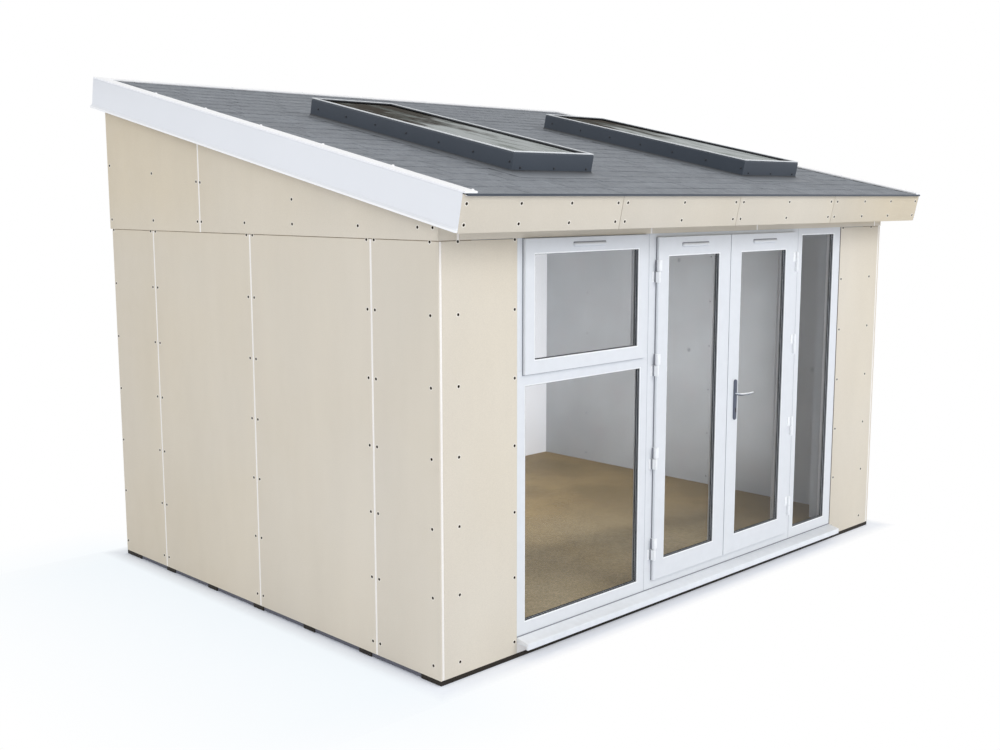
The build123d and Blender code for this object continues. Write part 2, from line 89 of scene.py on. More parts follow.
def in_wall(x, z, y):
    """Point of an upright frame that faces the front."""
    return Vector((x, y, z))


# ================================================================ sizes and colours that a user may change
def length(name, description, default):
    return FloatProperty(name=name, description=description, default=default, min=0.0, unit="LENGTH", precision=4)


def colour(name, description, default):
    return FloatVectorProperty(
        name=name, description=description, default=default, size=3, min=0.0, max=1.0, subtype="COLOR"
    )


class PodBoards(bpy.types.PropertyGroup):
    tone: colour("Board paint", "Paint on the cement boards", (0.73, 0.674, 0.577))
    tone_warm: colour("Board paint, warm patches", "Slow drift of the paint", (0.715, 0.626, 0.475))
    strip_tone: colour("Joint strips", "White strips between the boards", (0.94, 0.905, 0.86))
    edge_round: length("Board edge", "Rounding of the board edges", 0.0012)


class PodFixings(bpy.types.PropertyGroup):
    head_radius: length("Screw head", "Radius of a screw head", 0.0076)
    ring_radius: length("Filler ring", "Radius of the pale ring round a head", 0.0118)
    head_rise: length("Head rise", "How far a head stands out", 0.0016)
    first_row: length("First row", "Height of the lowest row of screws", 0.088)
    row_pitch: length("Row pitch", "Height between rows of screws", 0.3304)
    edge_inset: length("Edge inset", "Screws to the edge of a board at a joint", 0.0205)
    front_inset: length("Front inset", "Screws to the front edge of a side wall", 0.054)
    back_inset: length("Back inset", "Screws to the back edge of a wall", 0.0175)
    seed: IntProperty(name="Seed", description="Turns the screw slots", default=7)


class PodRoof(bpy.types.PropertyGroup):
    felt: colour("Felt", "Mineral felt", (0.232, 0.250, 0.277))
    course: length("Course", "Exposed height of a row of shingles", 0.155)
    tab: length("Tab width", "Width of one shingle tab", 0.333)
    slot: length("Slot", "Gap between two tabs", 0.006)
    stagger: length("Stagger", "Sideways step from row to row", 0.246)
    thickness: length("Shingle thickness", "Thickness of one shingle", 0.0029)
    side_trim: length("Side trims", "Width of the white trims at the verges", 0.077)
    back_trim: length("Back trim", "Width of the white trim along the back", 0.066)
    nail_pitch: length("Trim nails", "Distance between nails in the verge trims", 0.541)
    seed: IntProperty(name="Seed", description="Unevenness of the shingles", default=11)


class PodRooflights(bpy.types.PropertyGroup):
    metal: colour("Metal", "Powder coat on the rooflight kerbs", (0.052, 0.066, 0.088))
    screw_pitch: length("Kerb screws", "Distance between screws along a kerb", 0.267)
    screw_height: length("Kerb screw height", "Height of the screws above the roof", 0.054)
    skirt_spread: length("Skirt spread", "How far the skirt reaches over the felt beside the kerb", 0.013)
    apron: length("Apron", "How far the skirt reaches down the slope", 0.11)
    skirt_rise: length("Skirt rise", "Height of the skirt on the kerb", 0.017)


class PodGlazing(bpy.types.PropertyGroup):
    plastic: colour("White plastic", "Window and door sections", (0.755, 0.778, 0.808))
    glass_tint: colour("Glass tint", "Colour of the light through the panes", (0.965, 0.968, 0.972))
    pane: length("Pane", "Thickness of one sheet of glass", 0.004)
    spacer: length("Spacer", "Height of the spacer bar between the panes", 0.002)
    gasket: length("Gasket", "Visible width of the rubber seal", 0.0014)
    bead: length("Bead", "Width of the sloping bead round the glass", 0.015)
    bead_fall: length("Bead fall", "Depth of the bead's slope", 0.0045)
    inner_slope: length("Inner slope width", "Width of the sloping side behind the pane", 0.042)
    inner_depth: length("Inner slope depth", "Depth of the sloping side behind the pane", 0.039)
    edge_round: length("Section edge", "Rounding of the plastic sections", 0.002)


class PodInterior(bpy.types.PropertyGroup):
    lining: colour("Lining", "Inner wall boards", (0.49, 0.512, 0.535))
    back_wall: colour("Back wall", "White paint on the back wall", (0.86, 0.87, 0.905))
    floor: colour("Floor", "Chipboard flooring", (0.42, 0.298, 0.135))


class PodStage(bpy.types.PropertyGroup):
    lens: FloatProperty(name="Lens", description="Focal length in mm", default=43.229, min=10.0)
    key: FloatProperty(name="Key", description="Power of the key light in watts", default=540.0, min=0.0)
    room: FloatProperty(name="Room", description="Power of the light in the room in watts", default=31.0, min=0.0)
    sky: FloatProperty(name="Sky", description="Strength of the even light", default=0.75, min=0.0)


SETTINGS = {
    "pod_boards": PodBoards,
    "pod_fixings": PodFixings,
    "pod_roof": PodRoof,
    "pod_rooflights": PodRooflights,
    "pod_glazing": PodGlazing,
    "pod_interior": PodInterior,
    "pod_stage": PodStage,
}


# ================================================================ node helpers
def node(tree, kind, inputs=None, **settings):
    """Add a node, set its options, and link or set its inputs."""
    made = tree.nodes.new(kind)
    for key, value in settings.items():
        setattr(made, key, value)
    for key, value in (inputs or {}).items():
        if isinstance(value, bpy.types.NodeSocket):
            tree.links.new(value, made.inputs[key])
        else:
            made.inputs[key].default_value = value
    return made


def bare_material(name):
    """A new material with an empty tree. Returns material, tree and Object coordinates."""
    material = bpy.data.materials.new(name)
    material.use_nodes = True
    tree = material.node_tree
    tree.nodes.clear()
    return material, tree, node(tree, "ShaderNodeTexCoord").outputs["Object"]


def finish(name, base, roughness, **shader_values):
    """A new material with a Principled shader. Returns material, tree, shader and Object coordinates."""
    material, tree, coords = bare_material(name)
    shader = node(tree, "ShaderNodeBsdfPrincipled", {"Base Color": (*base, 1.0), "Roughness": roughness})
    for key, value in shader_values.items():
        shader.inputs[key.replace("_", " ")].default_value = value
    node(tree, "ShaderNodeOutputMaterial", {"Surface": shader.outputs[0]})
    return material, tree, shader, coords


def cloud(tree, coords, scale, detail=3.0, rough=0.55, stretch=(1.0, 1.0, 1.0)):
    """Soft noise from 0 to 1."""
    moved = node(tree, "ShaderNodeMapping", {"Vector": coords, "Scale": stretch}).outputs[0]
    made = node(tree, "ShaderNodeTexNoise", {"Vector": moved, "Scale": scale, "Detail": detail, "Roughness": rough})
    return made.outputs[0]


def band(tree, value, low, high, to_low=0.0, to_high=1.0):
    """Spread the part of value between low and high over the given range."""
    limits = {"Value": value, "From Min": low, "From Max": high, "To Min": to_low, "To Max": to_high}
    return node(tree, "ShaderNodeMapRange", limits).outputs[0]


def mottle(tree, coords, scale, low=0.0, high=1.0, detail=3.0, rough=0.55, stretch=(1.0, 1.0, 1.0)):
    """Soft noise whose middle part is spread from low to high."""
    return band(tree, cloud(tree, coords, scale, detail, rough, stretch), 0.3, 0.7, low, high)


def blend(tree, factor, first, second, how="MIX"):
    """Mix two colours, given as tuples or sockets."""
    made = node(tree, "ShaderNodeMix", {0: factor}, data_type="RGBA", blend_type=how)
    for index, value in ((6, first), (7, second)):
        if isinstance(value, bpy.types.NodeSocket):
            tree.links.new(value, made.inputs[index])
        else:
            made.inputs[index].default_value = (*value, 1.0)
    return made.outputs[2]


def sums(tree, how, first, second, clamp=False):
    return node(tree, "ShaderNodeMath", {0: first, 1: second}, operation=how, use_clamp=clamp).outputs[0]


def times(tree, product, *others):
    """The product of two or more values."""
    for other in others:
        product = sums(tree, "MULTIPLY", product, other)
    return product


def absolute(tree, value):
    return node(tree, "ShaderNodeMath", {0: value}, operation="ABSOLUTE").outputs[0]


def axes(tree, vector):
    """The X, Y and Z of a vector."""
    return node(tree, "ShaderNodeSeparateXYZ", {0: vector}).outputs


def attribute(tree, name):
    """A value that the mesh carries under the given name."""
    return node(tree, "ShaderNodeAttribute", attribute_name=name).outputs["Fac"]


def shaded(tree, shader, base, shade):
    """Link the base colour, made lighter or darker by a grey value."""
    grey = node(tree, "ShaderNodeCombineColor", {0: shade, 1: shade, 2: shade}).outputs[0]
    tree.links.new(blend(tree, 1.0, base, grey, "MULTIPLY"), shader.inputs["Base Color"])


def seen_rays(tree):
    """1 for camera, glossy and transmission rays, which are to see a white background."""
    rays = node(tree, "ShaderNodeLightPath").outputs
    others = sums(tree, "MAXIMUM", rays["Is Glossy Ray"], rays["Is Transmission Ray"])
    return sums(tree, "MAXIMUM", rays["Is Camera Ray"], others)


def glancing(tree, power):
    """Rises from 0 where a surface faces the viewer to 1 at a glancing angle."""
    return sums(tree, "POWER", node(tree, "ShaderNodeLayerWeight", {"Blend": 0.5}).outputs["Facing"], power)


def mirror_over_clear(tree, tint, sheen, roughness, share):
    """Tinted clear glass under a mirror that shows by the given share."""
    through = node(tree, "ShaderNodeBsdfTransparent", {"Color": tint})
    mirror = node(tree, "ShaderNodeBsdfAnisotropic", {"Color": sheen, "Roughness": roughness})
    mixed = node(tree, "ShaderNodeMixShader", {0: share, 1: through.outputs[0], 2: mirror.outputs[0]})
    node(tree, "ShaderNodeOutputMaterial", {"Surface": mixed.outputs[0]})


def relief(tree, shader, height, distance, strength=1.0):
    bump = node(tree, "ShaderNodeBump", {"Height": height, "Distance": distance, "Strength": strength})
    tree.links.new(bump.outputs[0], shader.inputs["Normal"])


def scaled(rgb, factor):
    return tuple(min(1.0, c * factor) for c in rgb)


# ================================================================ finishes
def board_paint(boards):
    """Paint on cement board: slow warm drift, faint vertical wash and fine grit, with painted shade under the eave."""
    material, tree, shader, coords = finish("board_paint", boards.tone, 0.72)
    place = axes(tree, coords)
    drift = band(tree, cloud(tree, coords, 0.9, 2.0), 0.35, 0.65, 0.0, 0.25)
    # warmer towards the back and high up on the boards
    warm_toward_back_top = times(tree, band(tree, place["Y"], -0.9, 1.3), band(tree, place["Z"], 1.9, 2.3, 0.35, 0.9))
    eave_end = times(tree, band(tree, place["X"], 0.6, 2.0), band(tree, place["Z"], 2.09, 2.11))
    warm = sums(tree, "ADD", drift, sums(tree, "MAXIMUM", warm_toward_back_top, eave_end), clamp=True)
    base = blend(tree, warm, boards.tone, boards.tone_warm)
    wash = mottle(tree, coords, 3.0, 0.965, 1.02, stretch=(1.0, 1.0, 0.25))
    grit = mottle(tree, coords, 260.0, 0.955, 1.03, 2.0)
    own_tone = band(tree, attribute(tree, "tone"), 0.0, 1.0, 0.985, 1.015)
    # painted shade: darker high on the front boards under the overhang, and on the fascia
    painted_eave_shade = times(
        tree, band(tree, place["Y"], FRONT + 0.02, FRONT - 0.01), band(tree, place["Z"], 1.8, 2.08)
    )
    shaded(tree, shader, base, times(tree, wash, grit, own_tone, band(tree, painted_eave_shade, 0.0, 1.0, 1.0, 0.93)))
    tree.links.new(mottle(tree, coords, 14.0, 0.62, 0.8), shader.inputs["Roughness"])
    relief(tree, shader, cloud(tree, coords, 420.0, 3.0), 0.0004, 0.5)
    return material


def speckled(name, rgb, roughness, spread=0.05, grain=180.0, depth=0.0002, **shader_values):
    """A finish of one colour with slow and fine variation, slight roughness change and fine relief."""
    material, tree, shader, coords = finish(name, rgb, roughness, **shader_values)
    fine = cloud(tree, coords, grain, 2.0)
    slow = mottle(tree, coords, 2.2, 1 - spread, 1 + spread)
    shaded(tree, shader, rgb, times(tree, slow, band(tree, fine, 0.3, 0.7, 0.97, 1.03)))
    worn = mottle(tree, coords, 9.0, roughness * 0.9, min(1.0, roughness * 1.12))
    tree.links.new(worn, shader.inputs["Roughness"])
    relief(tree, shader, fine, depth, 0.6)
    return material


def verge_finish():
    """Smooth white board with a painted highlight along its lower lip."""
    white, lip_highlight = (0.83, 0.85, 0.885), (0.97, 0.975, 0.985)
    material, tree, shader, coords = finish("verge_white", white, 0.36)
    place = axes(tree, coords)
    above = sums(tree, "SUBTRACT", times(tree, place["Z"], cos(PITCH)), times(tree, place["Y"], sin(PITCH)))
    lower_edge = EAVE.z * cos(PITCH) - EAVE.y * sin(PITCH) - BARGE_DEPTH
    # painted highlight: the board's lower lip is given a brighter white
    lip = band(tree, above, lower_edge + 0.009, lower_edge + 0.0105, 1.0, 0.0)
    face = blend(tree, mottle(tree, coords, 1.2, detail=2.0), scaled(white, 0.985), scaled(white, 1.01))
    tree.links.new(blend(tree, lip, face, lip_highlight), shader.inputs["Base Color"])
    tree.links.new(mottle(tree, coords, 6.0, 0.33, 0.4), shader.inputs["Roughness"])
    return material


def felt_finish(roof):
    """Mineral felt: granules, a tone of its own for each tab, and darker streaks down the slope."""
    material, tree, shader, coords = finish("mineral_felt", roof.felt, 0.85)
    granules = node(tree, "ShaderNodeTexVoronoi", {"Vector": coords, "Scale": 420.0}).outputs["Distance"]
    patches = mottle(tree, coords, 2.5, 0.93, 1.06, 4.0, 0.6)
    streaks = mottle(tree, coords, 16.0, 0.86, 1.12, 5.0, 0.7, (0.3, 1.0, 1.0))
    own_tone = band(tree, attribute(tree, "tone"), 0.0, 1.0, 0.965, 1.035)
    grit = band(tree, granules, 0.0, 0.7, 0.86, 1.10)
    scuffs = mottle(tree, coords, 30.0, 0.78, 1.16, 4.0, 0.7, (1.6, 0.5, 1.0))
    shaded(tree, shader, roof.felt, times(tree, patches, streaks, own_tone, grit, scuffs))
    relief(tree, shader, sums(tree, "ADD", granules, cloud(tree, coords, 90.0, 3.0)), 0.0014, 0.8)
    return material


def glass_finish(glazing):
    """Clear glass that mirrors more at a glancing angle and lets light through."""
    mirror, mirror_gain = (0.95, 0.97, 1.0), 0.35
    material, tree, coords = bare_material("clear_glass")
    film = mottle(tree, coords, 1.8, stretch=(1.0, 0.6, 1.0))
    tint = blend(tree, film, glazing.glass_tint, scaled(glazing.glass_tint, 0.985))
    sheen = blend(tree, film, mirror, scaled(mirror, 0.9))
    share = sums(tree, "ADD", times(tree, glancing(tree, 5.0), mirror_gain), 0.004)
    mirror_over_clear(tree, tint, sheen, 0.02, share)
    return material


def rooflight_glass_finish(glazing):
    """Tinted glass whose mirror colour is a painted reflection: dark up the slope, where less is seen through it too,
    and paler down the slope, with soft wisps across it.
    """
    material, tree, coords = bare_material("rooflight_glass")
    low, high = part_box("skylight_left_frame")
    up_slope = band(tree, axes(tree, coords)["Y"], low.y, high.y)
    sway = mottle(tree, coords, 2.6, -0.3, 0.3, 4.0, 0.6, (2.2, 0.8, 1.0))
    # painted reflection: the mirror colour darkens up the slope, and the glass lets less through there
    darker = band(tree, sums(tree, "ADD", up_slope, sway), 0.42, 0.72)
    wisps = band(tree, cloud(tree, coords, 5.0, 5.0, 0.65, stretch=(2.6, 0.6, 1.0)), 0.5, 0.66)
    reflection_pale = blend(tree, wisps, (0.46, 0.485, 0.485), (0.27, 0.295, 0.28))
    shade = blend(tree, wisps, (0.075, 0.068, 0.06), (0.15, 0.165, 0.155))
    tint = blend(tree, darker, scaled(glazing.glass_tint, 0.8), scaled(glazing.glass_tint, 0.62))
    share = sums(tree, "MULTIPLY", glancing(tree, 4.0), 1.35, clamp=True)
    mirror_over_clear(tree, tint, blend(tree, darker, reflection_pale, shade), 0.06, share)
    return material


def chipboard(interior):
    """Flooring board: pressed flakes in several browns under a matt seal, with painted shade towards the right wall and
    a painted pool of light by the doors.
    """
    material, tree, shader, coords = finish("chipboard", interior.floor, 0.62)
    flakes = node(tree, "ShaderNodeTexVoronoi", {"Vector": coords, "Scale": 95.0, "Randomness": 1.0})
    flake_tone = node(tree, "ShaderNodeSeparateColor", {0: flakes.outputs["Color"]}).outputs[0]
    place = axes(tree, coords)
    stain = band(tree, cloud(tree, coords, 1.6, 3.0), 0.35, 0.65, -0.3, 0.3)
    # painted shade: darker towards the right wall, mixed with real stains
    worn = sums(tree, "ADD", band(tree, place["X"], -1.4, 1.6), stain)
    base = blend(tree, worn, scaled(interior.floor, 1.14), scaled(interior.floor, 0.58))
    # painted light: a patchy paler pool by the doors, where light falls in
    door_light_area = times(tree, band(tree, place["Y"], 0.1, -1.1), band(tree, place["X"], 1.3, 0.2))
    painted_door_light = times(tree, door_light_area, band(tree, cloud(tree, coords, 1.3, 4.0), 0.3, 0.62, 0.35, 1.0))
    base = blend(tree, painted_door_light, base, (0.76, 0.61, 0.37))
    shaded(tree, shader, base, band(tree, flake_tone, 0.0, 1.0, 0.84, 1.14))
    relief(tree, shader, flakes.outputs["Distance"], 0.0006, 0.4)
    return material


def lining_finish(interior):
    """Cloudy grey inner walls with a few rubbed marks, painted light near the doors, and a white back wall."""
    material, tree, shader, coords = finish("lining_board", interior.lining, 0.7)
    cloudy = mottle(tree, coords, 1.7, detail=5.0, rough=0.6)
    base = blend(tree, cloudy, scaled(interior.lining, 0.86), scaled(interior.lining, 1.07))
    blotches = band(tree, cloud(tree, coords, 4.5, 4.0, 0.6), 0.45, 0.7, 0.0, 0.5)
    base = blend(tree, blotches, base, (0.47, 0.462, 0.485))
    rubs = band(tree, cloud(tree, coords, 9.0, 5.0, 0.7), 0.66, 0.76)
    base = blend(tree, rubs, base, scaled(interior.lining, 0.8))
    spots = node(tree, "ShaderNodeTexVoronoi", {"Vector": coords, "Scale": 2.6}).outputs["Distance"]
    base = blend(tree, band(tree, spots, 0.025, 0.06, 0.8, 0.0), base, scaled(interior.lining, 0.55))
    depth = axes(tree, coords)["Y"]
    # painted light: paler towards the front, near the doors
    base = blend(tree, band(tree, depth, -0.3, -1.2, 0.0, 0.3), base, (0.80, 0.83, 0.86))
    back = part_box("ceiling_lining")[1].y
    white = blend(tree, cloudy, interior.back_wall, scaled(interior.back_wall, 0.97))
    base = blend(tree, band(tree, depth, back - 0.001, back - 0.0005), base, white)
    tree.links.new(base, shader.inputs["Base Color"])
    relief(tree, shader, cloud(tree, coords, 150.0, 3.0), 0.00012, 0.5)
    return material


def skirt_finish(roof):
    """Soft flashing dressed over the felt, with painted shade where it turns up the kerb."""
    material, tree, shader, coords = finish("dressed_flashing", roof.felt, 0.7)
    # painted shade: darker as the flashing rises up the kerb
    kerb_foot_shade = band(tree, attribute(tree, "rise"), 0.0, 0.8, 1.02, 0.22)
    shaded(tree, shader, roof.felt, times(tree, mottle(tree, coords, 160.0, 0.86, 1.1), kerb_foot_shade))
    relief(tree, shader, cloud(tree, coords, 60.0, 3.0), 0.0012, 0.5)
    return material


def timber(name, rgb):
    """Sawn timber with grain along X."""
    material, tree, shader, coords = finish(name, rgb, 0.75)
    grain = cloud(tree, coords, 18.0, 5.0, 0.6, stretch=(0.06, 1.0, 1.0))
    base = blend(tree, band(tree, grain, 0.3, 0.7), scaled(rgb, 0.68), scaled(rgb, 1.3))
    tree.links.new(base, shader.inputs["Base Color"])
    relief(tree, shader, grain, 0.001, 0.5)
    return material


def screw_finish():
    """Screw head: dark steel inside a pale ring, told apart by the head's own ring value."""
    material, tree, shader, coords = finish("screw_steel", (0.03, 0.024, 0.018), 0.85, Specular_IOR_Level=0.05)
    rust = band(tree, cloud(tree, coords, 600.0, 2.0), 0.35, 0.65)
    steel = blend(tree, rust, (0.012, 0.008, 0.005), (0.034, 0.022, 0.012))
    base = blend(tree, attribute(tree, "ring"), steel, (0.83, 0.785, 0.70))
    tree.links.new(base, shader.inputs["Base Color"])
    relief(tree, shader, cloud(tree, coords, 900.0, 2.0), 0.0002, 0.4)
    return material


def chrome_finish():
    """Polished chrome whose colour holds a painted reflection: light on its upper sides and dark below, as in a room
    with a pale ceiling.
    """
    material, tree, shader, coords = finish("polished_chrome", (0.9, 0.92, 0.95), 0.18, Metallic=1.0)
    upward = axes(tree, node(tree, "ShaderNodeTexCoord").outputs["Normal"])["Z"]
    smears = mottle(tree, coords, 60.0, -0.06, 0.06, 2.0)
    # painted reflection: light where the surface faces up, dark where it faces down
    share = band(tree, sums(tree, "ADD", upward, smears), -0.35, 0.3)
    tree.links.new(blend(tree, share, (0.09, 0.11, 0.15), (0.93, 0.95, 0.97)), shader.inputs["Base Color"])
    return material


def plastic_finish(glazing):
    """White plastic with painted shade high up under the eave."""
    material, tree, shader, coords = finish("white_plastic", glazing.plastic, 0.34)
    fine = mottle(tree, coords, 20.0, 0.985, 1.015, 2.0)
    # painted shade: darker high up, where the overhang shades the frames
    painted_eave_shade = band(tree, axes(tree, coords)["Z"], 1.92, 2.07, 1.0, 0.87)
    shaded(tree, shader, glazing.plastic, times(tree, fine, painted_eave_shade))
    tree.links.new(mottle(tree, coords, 9.0, 0.3, 0.38), shader.inputs["Roughness"])
    relief(tree, shader, fine, 0.00001, 0.6)
    return material


def spacer_finish():
    """Spacer between the panes: dark sealant at both sides of a light bar, told apart by the bar value."""
    material, tree, shader, coords = finish("edge_spacer", (0.05, 0.055, 0.065), 0.6, Specular_IOR_Level=0.06)
    bar = attribute(tree, "bar")
    worn = mottle(tree, coords, 40.0, detail=2.0)
    dark = blend(tree, worn, (0.004, 0.005, 0.006), (0.008, 0.009, 0.011))
    grey = blend(tree, worn, (0.032, 0.036, 0.046), (0.042, 0.047, 0.058))
    light = blend(tree, worn, (0.78, 0.80, 0.82), (0.86, 0.88, 0.90))
    lower = blend(tree, band(tree, bar, 0.0, 0.5), dark, grey)
    tree.links.new(blend(tree, band(tree, bar, 0.5, 1.0), lower, light), shader.inputs["Base Color"])
    return material


FINISHES = {}


def get_finish(name):
    """Each finish is made once, from the settings, when a piece first asks for it."""
    if name in FINISHES:
        return FINISHES[name]
    scene = bpy.context.scene
    plastic, felt = scene.pod_glazing.plastic, scene.pod_roof.felt
    plain = {
        "strips": ("joint_white", scene.pod_boards.strip_tone, 0.5, 0.03),
        "sill": ("sill_white", scaled(plastic, 1.1), 0.34, 0.004, 20.0, 0.00001),
        "verge_cap": ("verge_cap_white", (0.94, 0.945, 0.965), 0.34, 0.008, 70.0, 0.00004),
        "underlay": ("felt_underlay", scaled(felt, 0.3), 0.9, 0.1, 300.0, 0.0008),
        "metal": ("anthracite_coat", scene.pod_rooflights.metal, 0.36, 0.08, 500.0, 0.00008),
        "rim": ("mill_aluminium", (0.76, 0.79, 0.82), 0.3, 0.05, 300.0, 0.00004),
        "joint_line": ("grey_joint_seal", (0.24, 0.25, 0.28), 0.6, 0.06, 200.0, 0.00005),
        "black_seal": ("black_seal", (0.022, 0.024, 0.028), 0.55, 0.1, 200.0, 0.00005),
        # painted highlight: a brighter white than the plastic, for the bead lips and the hinges
        "highlight_white": ("highlight_white", (0.93, 0.945, 0.96), 0.28, 0.004, 90.0, 0.00002),
        "frame_joint": ("frame_joint", (0.42, 0.44, 0.48), 0.5, 0.03, 200.0, 0.00003),
        # painted shade: a dark bluish strip for the shaded gap under the side walls
        "base_shade": ("base_shade_dark", (0.105, 0.108, 0.135), 0.6, 0.12, 60.0, 0.0003),
        "brown_seal": ("brown_seal", (0.21, 0.18, 0.15), 0.6, 0.05, 200.0, 0.00004),
        "rubber": ("seal_rubber", (0.10, 0.105, 0.11), 0.6, 0.1),
        "shadow_gap": ("dark_keyway", (0.02, 0.02, 0.02), 0.6, 0.1),
        "ceiling": ("ceiling_white", (0.55, 0.55, 0.54), 0.7, 0.03),
        "cap_screw": ("dark_screw", (0.03, 0.032, 0.038), 0.35, 0.1, 300.0, 0.0001),
    }
    special = {
        "boards": lambda: board_paint(scene.pod_boards),
        "plastic": lambda: plastic_finish(scene.pod_glazing),
        "verge": verge_finish,
        "felt": lambda: felt_finish(scene.pod_roof),
        "glass": lambda: glass_finish(scene.pod_glazing),
        "roof_glass": lambda: rooflight_glass_finish(scene.pod_glazing),
        "skirt": lambda: skirt_finish(scene.pod_roof),
        "spacer": spacer_finish,
        "chrome": chrome_finish,
        "satin": lambda: speckled("satin_chrome", (0.135, 0.15, 0.195), 0.34, 0.05, 200.0, 0.00003, Metallic=1.0),
        "lining": lambda: lining_finish(scene.pod_interior),
        "floor": lambda: chipboard(scene.pod_interior),
        "bearer": lambda: timber("stained_bearer", (0.014, 0.0095, 0.005)),
        "panel": lambda: timber("panel_board", (0.42, 0.31, 0.19)),
        "screw": screw_finish,
    }
    FINISHES[name] = speckled(*plain[name]) if name in plain else special[name]()
    return FINISHES[name]


# ================================================================ mesh helpers
def object_from(name, bm):
    """Make an object from a bmesh, with its faces pointing outwards."""
    bmesh.ops.recalc_face_normals(bm, faces=bm.faces)
    mesh = bpy.data.meshes.new(name)
    bm.to_mesh(mesh)
    bm.free()
    made = bpy.data.objects.new(name, mesh)
    bpy.context.scene.collection.objects.link(made)
    return made


def settle(piece):
    """Turn a piece with modifiers into a plain mesh."""
    depsgraph = bpy.context.evaluated_depsgraph_get()
    mesh = bpy.data.meshes.new_from_object(
        piece.evaluated_get(depsgraph), preserve_all_data_layers=True, depsgraph=depsgraph
    )
    piece.modifiers.clear()
    old = piece.data
    piece.data = mesh
    bpy.data.meshes.remove(old)
    return piece


def smooth(piece):
    for face in piece.data.polygons:
        face.use_smooth = True
    return piece


def soften(piece, width, angle=30.0):
    """Round the sharp edges of a piece."""
    bevel = smooth(piece).modifiers.new("Edge", "BEVEL")
    bevel.width = width
    bevel.segments = 2
    bevel.limit_method = "ANGLE"
    bevel.angle_limit = radians(angle)
    bevel.harden_normals = True
    bevel.use_clamp_overlap = True
    return settle(piece)


def dress(piece, finish_name, body, slot, *replaced):
    """Give a piece its finish and the body it rides on. The slot argument is not used."""
    piece.data.materials.clear()
    piece.data.materials.append(get_finish(finish_name))
    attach(piece, body)
    if replaced:
        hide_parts(*replaced)
    return piece


def paint_node(name, finish_name):
    """Give a CAD node its finish."""
    mesh = frame["nodes"][name].data
    if not mesh.materials:
        mesh.materials.append(None)
    for index in range(len(mesh.materials)):
        mesh.materials[index] = get_finish(finish_name)


def merged_copy(name):
    """A bmesh of a CAD node with its triangles joined and its flat faces cleaned."""
    bm = bmesh.new()
    bm.from_mesh(frame["nodes"][name].data)
    bmesh.ops.remove_doubles(bm, verts=bm.verts, dist=1e-5)
    bmesh.ops.dissolve_limit(bm, angle_limit=radians(0.5), verts=bm.verts, edges=bm.edges)
    return bm


def loose_parts(bm):
    """Lists of the faces of each separate solid in a bmesh."""
    left = set(bm.faces)
    parts = []
    while left:
        todo = [left.pop()]
        part = []
        while todo:
            face = todo.pop()
            part.append(face)
            for edge in face.edges:
                for other in edge.link_faces:
                    if other in left:
                        left.remove(other)
                        todo.append(other)
        parts.append(part)
    return parts


def solid_boxes(name):
    """Lowest and highest corner of each solid in a CAD node, ordered along X, Y and Z."""
    bm = merged_copy(name)
    boxes = []
    for part in loose_parts(bm):
        points = [v.co for face in part for v in face.verts]
        low = Vector([min(p[i] for p in points) for i in range(3)])
        high = Vector([max(p[i] for p in points) for i in range(3)])
        boxes.append((low, high))
    bm.free()
    return sorted(boxes, key=lambda b: [round(c, 4) for c in (b[0].x, b[0].y, b[0].z)])


def softened_copy(node_name, piece_name, finish_name, body, slot, width, seed=1):
    """A copy of a CAD node with rounded edges and a slightly different tone for each board."""
    bm = merged_copy(node_name)
    layer = bm.faces.layers.float.new("tone")
    pick = random.Random(seed)

    def first_corner(part):
        return tuple(round(c, 3) for c in min(v.co[:] for face in part for v in face.verts))

    for part in sorted(loose_parts(bm), key=first_corner):
        tone = pick.random()
        for face in part:
            face[layer] = tone
    piece = soften(object_from(piece_name, bm), width)
    return dress(piece, finish_name, body, slot, node_name)


def add_block(bm, low, high, place=None):
    """Add a box between two corners; place maps (u, v, w) to a point."""
    place = place or (lambda u, v, w: Vector((u, v, w)))
    corners = [
        bm.verts.new(place(u, v, w)) for w in (low[2], high[2]) for v in (low[1], high[1]) for u in (low[0], high[0])
    ]
    for quad in ((0, 1, 3, 2), (4, 6, 7, 5), (0, 4, 5, 1), (2, 3, 7, 6), (0, 2, 6, 4), (1, 5, 7, 3)):
        bm.faces.new([corners[i] for i in quad])
    return corners


def join_rings(bm, rings, around=False):
    """Add faces between neighbouring rings of points. The last ring meets the first, or else both are closed."""
    count = len(rings[0])
    for near, far in zip(rings, rings[1:] + rings[:1] if around else rings[1:]):
        for k in range(count):
            bm.faces.new((near[k], near[(k + 1) % count], far[(k + 1) % count], far[k]))
    if not around:
        bm.faces.new(rings[0])
        bm.faces.new(rings[-1])


def add_ring(bm, rects, section, place=in_wall):
    """Add a mitred rectangular frame. Each section corner is (rectangle, inset, depth); a rectangle is
    (u0, u1, v0, v1), and the inset goes inwards from "out" and outwards from "in" and "body"."""
    loops = []
    for name, inset, depth in section:
        u0, u1, v0, v1 = shrunk(rects[name], inset if name == "out" else -inset)
        loops.append([bm.verts.new(place(u, v, depth)) for u, v in ((u0, v0), (u1, v0), (u1, v1), (u0, v1))])
    join_rings(bm, loops, around=True)


def flat_section(near, far):
    """Section of a frame with square faces between two depths."""
    return [("out", 0.0, near), ("in", 0.0, near), ("in", 0.0, far), ("out", 0.0, far)]


def shrunk(rect, step):
    """The rectangle made smaller by step on every side."""
    return (rect[0] + step, rect[1] - step, rect[2] + step, rect[3] - step)


def ring_piece(name, rings, width, finish_name, body, slot, *replaced, place=in_wall):
    """A piece made of mitred frames, each given as (rectangles, section), with its edges rounded by width."""
    bm = bmesh.new()
    for rects, section in rings:
        add_ring(bm, rects, section, place)
    piece = object_from(name, bm)
    return dress(soften(piece, width) if width else piece, finish_name, body, slot, *replaced)


